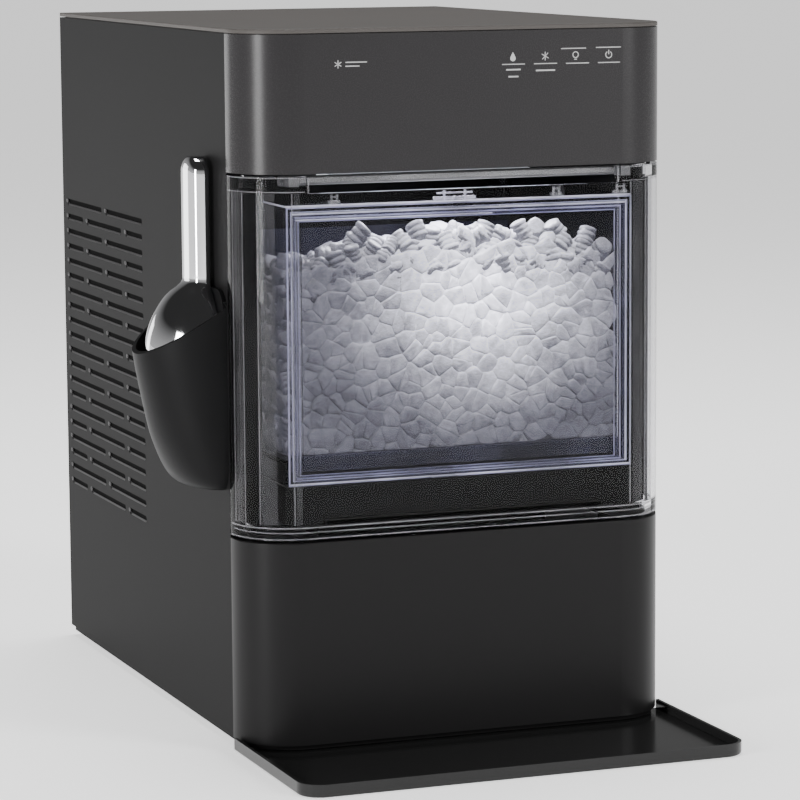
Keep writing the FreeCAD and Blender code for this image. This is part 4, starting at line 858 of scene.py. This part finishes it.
def scoop_section(z):
    """At one height: the outside's reach and half-width, the inside's, and how square the outside is."""
    below = z < SCOOP_WIDEST
    reach = BOWL_BELOW if below else BOWL_ABOVE
    share = math.sqrt(max(0, 1 - ((z - SCOOP_WIDEST) / reach) ** 2))
    out, half = BOWL_OUT * share, BOWL_HALF * share
    if not below:
        grow = ease(z, SCOOP_WIDEST, SHOULDER_TOP)
        out = out * (1 - grow) + smooth_more(out, GRIP_OUT) * grow
        half = half * (1 - grow) + smooth_more(half, GRIP_HALF) * grow
    if z > GRIP_END:
        end = math.sqrt(max(0.02, 1 - ((z - GRIP_END) / GRIP_CAP) ** 2))
        out, half = out * (0.55 + 0.45 * end), half * (0.25 + 0.75 * end)
    solid = ease(z, NECK_LOW, NECK_HIGH)
    inner_out = max(out - SCOOP_WALL, 0.1) * (1 - solid) + 0.3 * solid
    inner_half = max(half - SCOOP_WALL, 0.1) * (1 - solid) + (half - 0.4) * solid
    return out, half, inner_out, inner_half, 2.0 + 1.2 * ease(z, 255, 275)


def scoop_mesh():
    """A polished scoop: a deep bowl open towards the cabinet, a flared neck and a crowned handle."""
    levels = [157.2 + 0.6 * n for n in range(4)]
    levels += [160 + 2.0 * n for n in range(88)]
    levels += [336 + n for n in range(9)]
    around = 28
    vertices, faces = [], []
    for z in levels:
        out, half, inner_out, inner_half, square = scoop_section(z)
        ring = []
        for n in range(around + 1):
            angle = math.pi * (n / around - 0.5)
            c, t = math.cos(angle), math.sin(angle)
            ring.append((abs(c) ** (2 / square) * out, math.copysign(abs(t) ** (2 / square), t) * half))
        for n in range(around + 1):
            angle = math.pi * (0.5 - n / around)
            ring.append((math.cos(angle) * inner_out, math.sin(angle) * inner_half))
        vertices += [at(SCOOP_X - x, SCOOP_Y + y, z) for x, y in ring]
    ring = 2 * (around + 1)
    for level in range(len(levels) - 1):
        for n in range(ring):
            a, b = level * ring + n, level * ring + (n + 1) % ring
            faces.append((a, b, b + ring, a + ring))
    for n in range(around):
        for base, flip in ((0, False), ((len(levels) - 1) * ring, True)):
            quad = (base + n, base + n + 1, base + ring - 2 - n, base + ring - 1 - n)
            faces.append(quad if flip else quad[::-1])
    return vertices, faces


scoop_vertices, scoop_faces = scoop_mesh()
scoop = piece("polished_scoop", scoop_vertices, scoop_faces, "scoop", "polished_aluminium")
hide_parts("ice_scoop")

# ---------------------------------------------------------------- stage

FLOOR_HALF = 60
FLOOR_GLOW = 1.0
floor_mesh = bpy.data.meshes.new("floor")
floor_mesh.from_pydata([(x * FLOOR_HALF, y * FLOOR_HALF, 0) for x, y in ((-1, -1), (1, -1), (1, 1), (-1, 1))],
                       [], [(0, 1, 2, 3)])
floor = bpy.data.objects.new("floor", floor_mesh)
bpy.context.scene.collection.objects.link(floor)


def pale_floor():
    """An even, pale floor with a faint grain."""
    material = surface("pale_floor", (0.85, 0.85, 0.85), 0.7, 0, 40, 0.0, vary=0.01, Specular_IOR_Level=0.1)
    shader = material.node_tree.nodes["Principled BSDF"]
    shader.inputs["Emission Color"].default_value = (1, 1, 1, 1)
    shader.inputs["Emission Strength"].default_value = FLOOR_GLOW
    return material


finish_with(floor, pale_floor())

world = bpy.context.scene.world or bpy.data.worlds.new("studio")
bpy.context.scene.world = world
world.use_nodes = True
world.node_tree.nodes["Background"].inputs["Color"].default_value = (1, 1, 1, 1)
# A soft sky: brighter near the horizon, darker overhead.
sky = world.node_tree.nodes
height = sky.new("ShaderNodeSeparateXYZ")
world.node_tree.links.new(sky.new("ShaderNodeTexCoord").outputs["Generated"], height.inputs[0])
fall = sky.new("ShaderNodeMapRange")
HORIZON_GLOW, OVERHEAD_GLOW, OVERHEAD_FROM = 0.5, 0.03, 0.45
for key, value in (("From Min", 0.0), ("From Max", OVERHEAD_FROM),
                   ("To Min", HORIZON_GLOW), ("To Max", OVERHEAD_GLOW)):
    fall.inputs[key].default_value = value
world.node_tree.links.new(height.outputs["Z"], fall.inputs["Value"])
world.node_tree.links.new(fall.outputs["Result"], sky["Background"].inputs["Strength"])


def soft_box(name, place, target, width, height, power):
    """A rectangular lamp that faces a target; places in metres, power in watts."""
    light = bpy.data.lights.new(name, "AREA")
    light.shape = "RECTANGLE"
    light.size, light.size_y = width, height
    light.energy = power
    obj = bpy.data.objects.new(name, light)
    bpy.context.scene.collection.objects.link(obj)
    obj.location = place
    obj.rotation_mode = "QUATERNION"
    obj.rotation_quaternion = (Vector(target) - Vector(place)).to_track_quat("-Z", "Y")
    return obj


soft_box("key", (-2.2, -0.95, 0.6), (0, 0, 0.25), 0.55, 1.2, 56)
soft_box("fill", (1.9, -2.4, 1.3), (0, 0, 0.25), 0.9, 1.6, 80)
soft_box("top", (0.2, 0.6, 2.2), (0, 0, 0.3), 1.4, 1.0, 50)
soft_box("scoop_card", (-0.78, 1.44, 0.2), (-0.13, 0.0, 0.25), 0.5, 0.7, 3.0)
soft_box("bay_lamp", at(0, 56, 326), at(0, 40, 200), 0.13, 0.03, 0.9)

camera_data = bpy.data.cameras.new("camera")
camera_data.lens = 159.39
camera_data.sensor_width = 36
camera = bpy.data.objects.new("camera", camera_data)
bpy.context.scene.collection.objects.link(camera)
bpy.context.scene.camera = camera
# The camera's turn to the right, its tilt down and its roll, in degrees.
yaw, pitch, roll = (math.radians(turn) for turn in (20.727, 7.941, -0.386))
ahead = Vector((math.sin(yaw) * math.cos(pitch), math.cos(yaw) * math.cos(pitch), -math.sin(pitch)))
right = Vector((math.cos(yaw), -math.sin(yaw), 0))
up = right.cross(ahead)
turned_right = math.cos(roll) * right + math.sin(roll) * up
turned_up = -math.sin(roll) * right + math.cos(roll) * up
frame_axes = Matrix((turned_right, turned_up, -ahead)).transposed().to_4x4()
camera_place = at(-758.36, -1893.57, 487.37)
camera.matrix_world = Matrix.Translation(camera_place) @ frame_axes
camera_data.clip_start, camera_data.clip_end = 0.1, 50
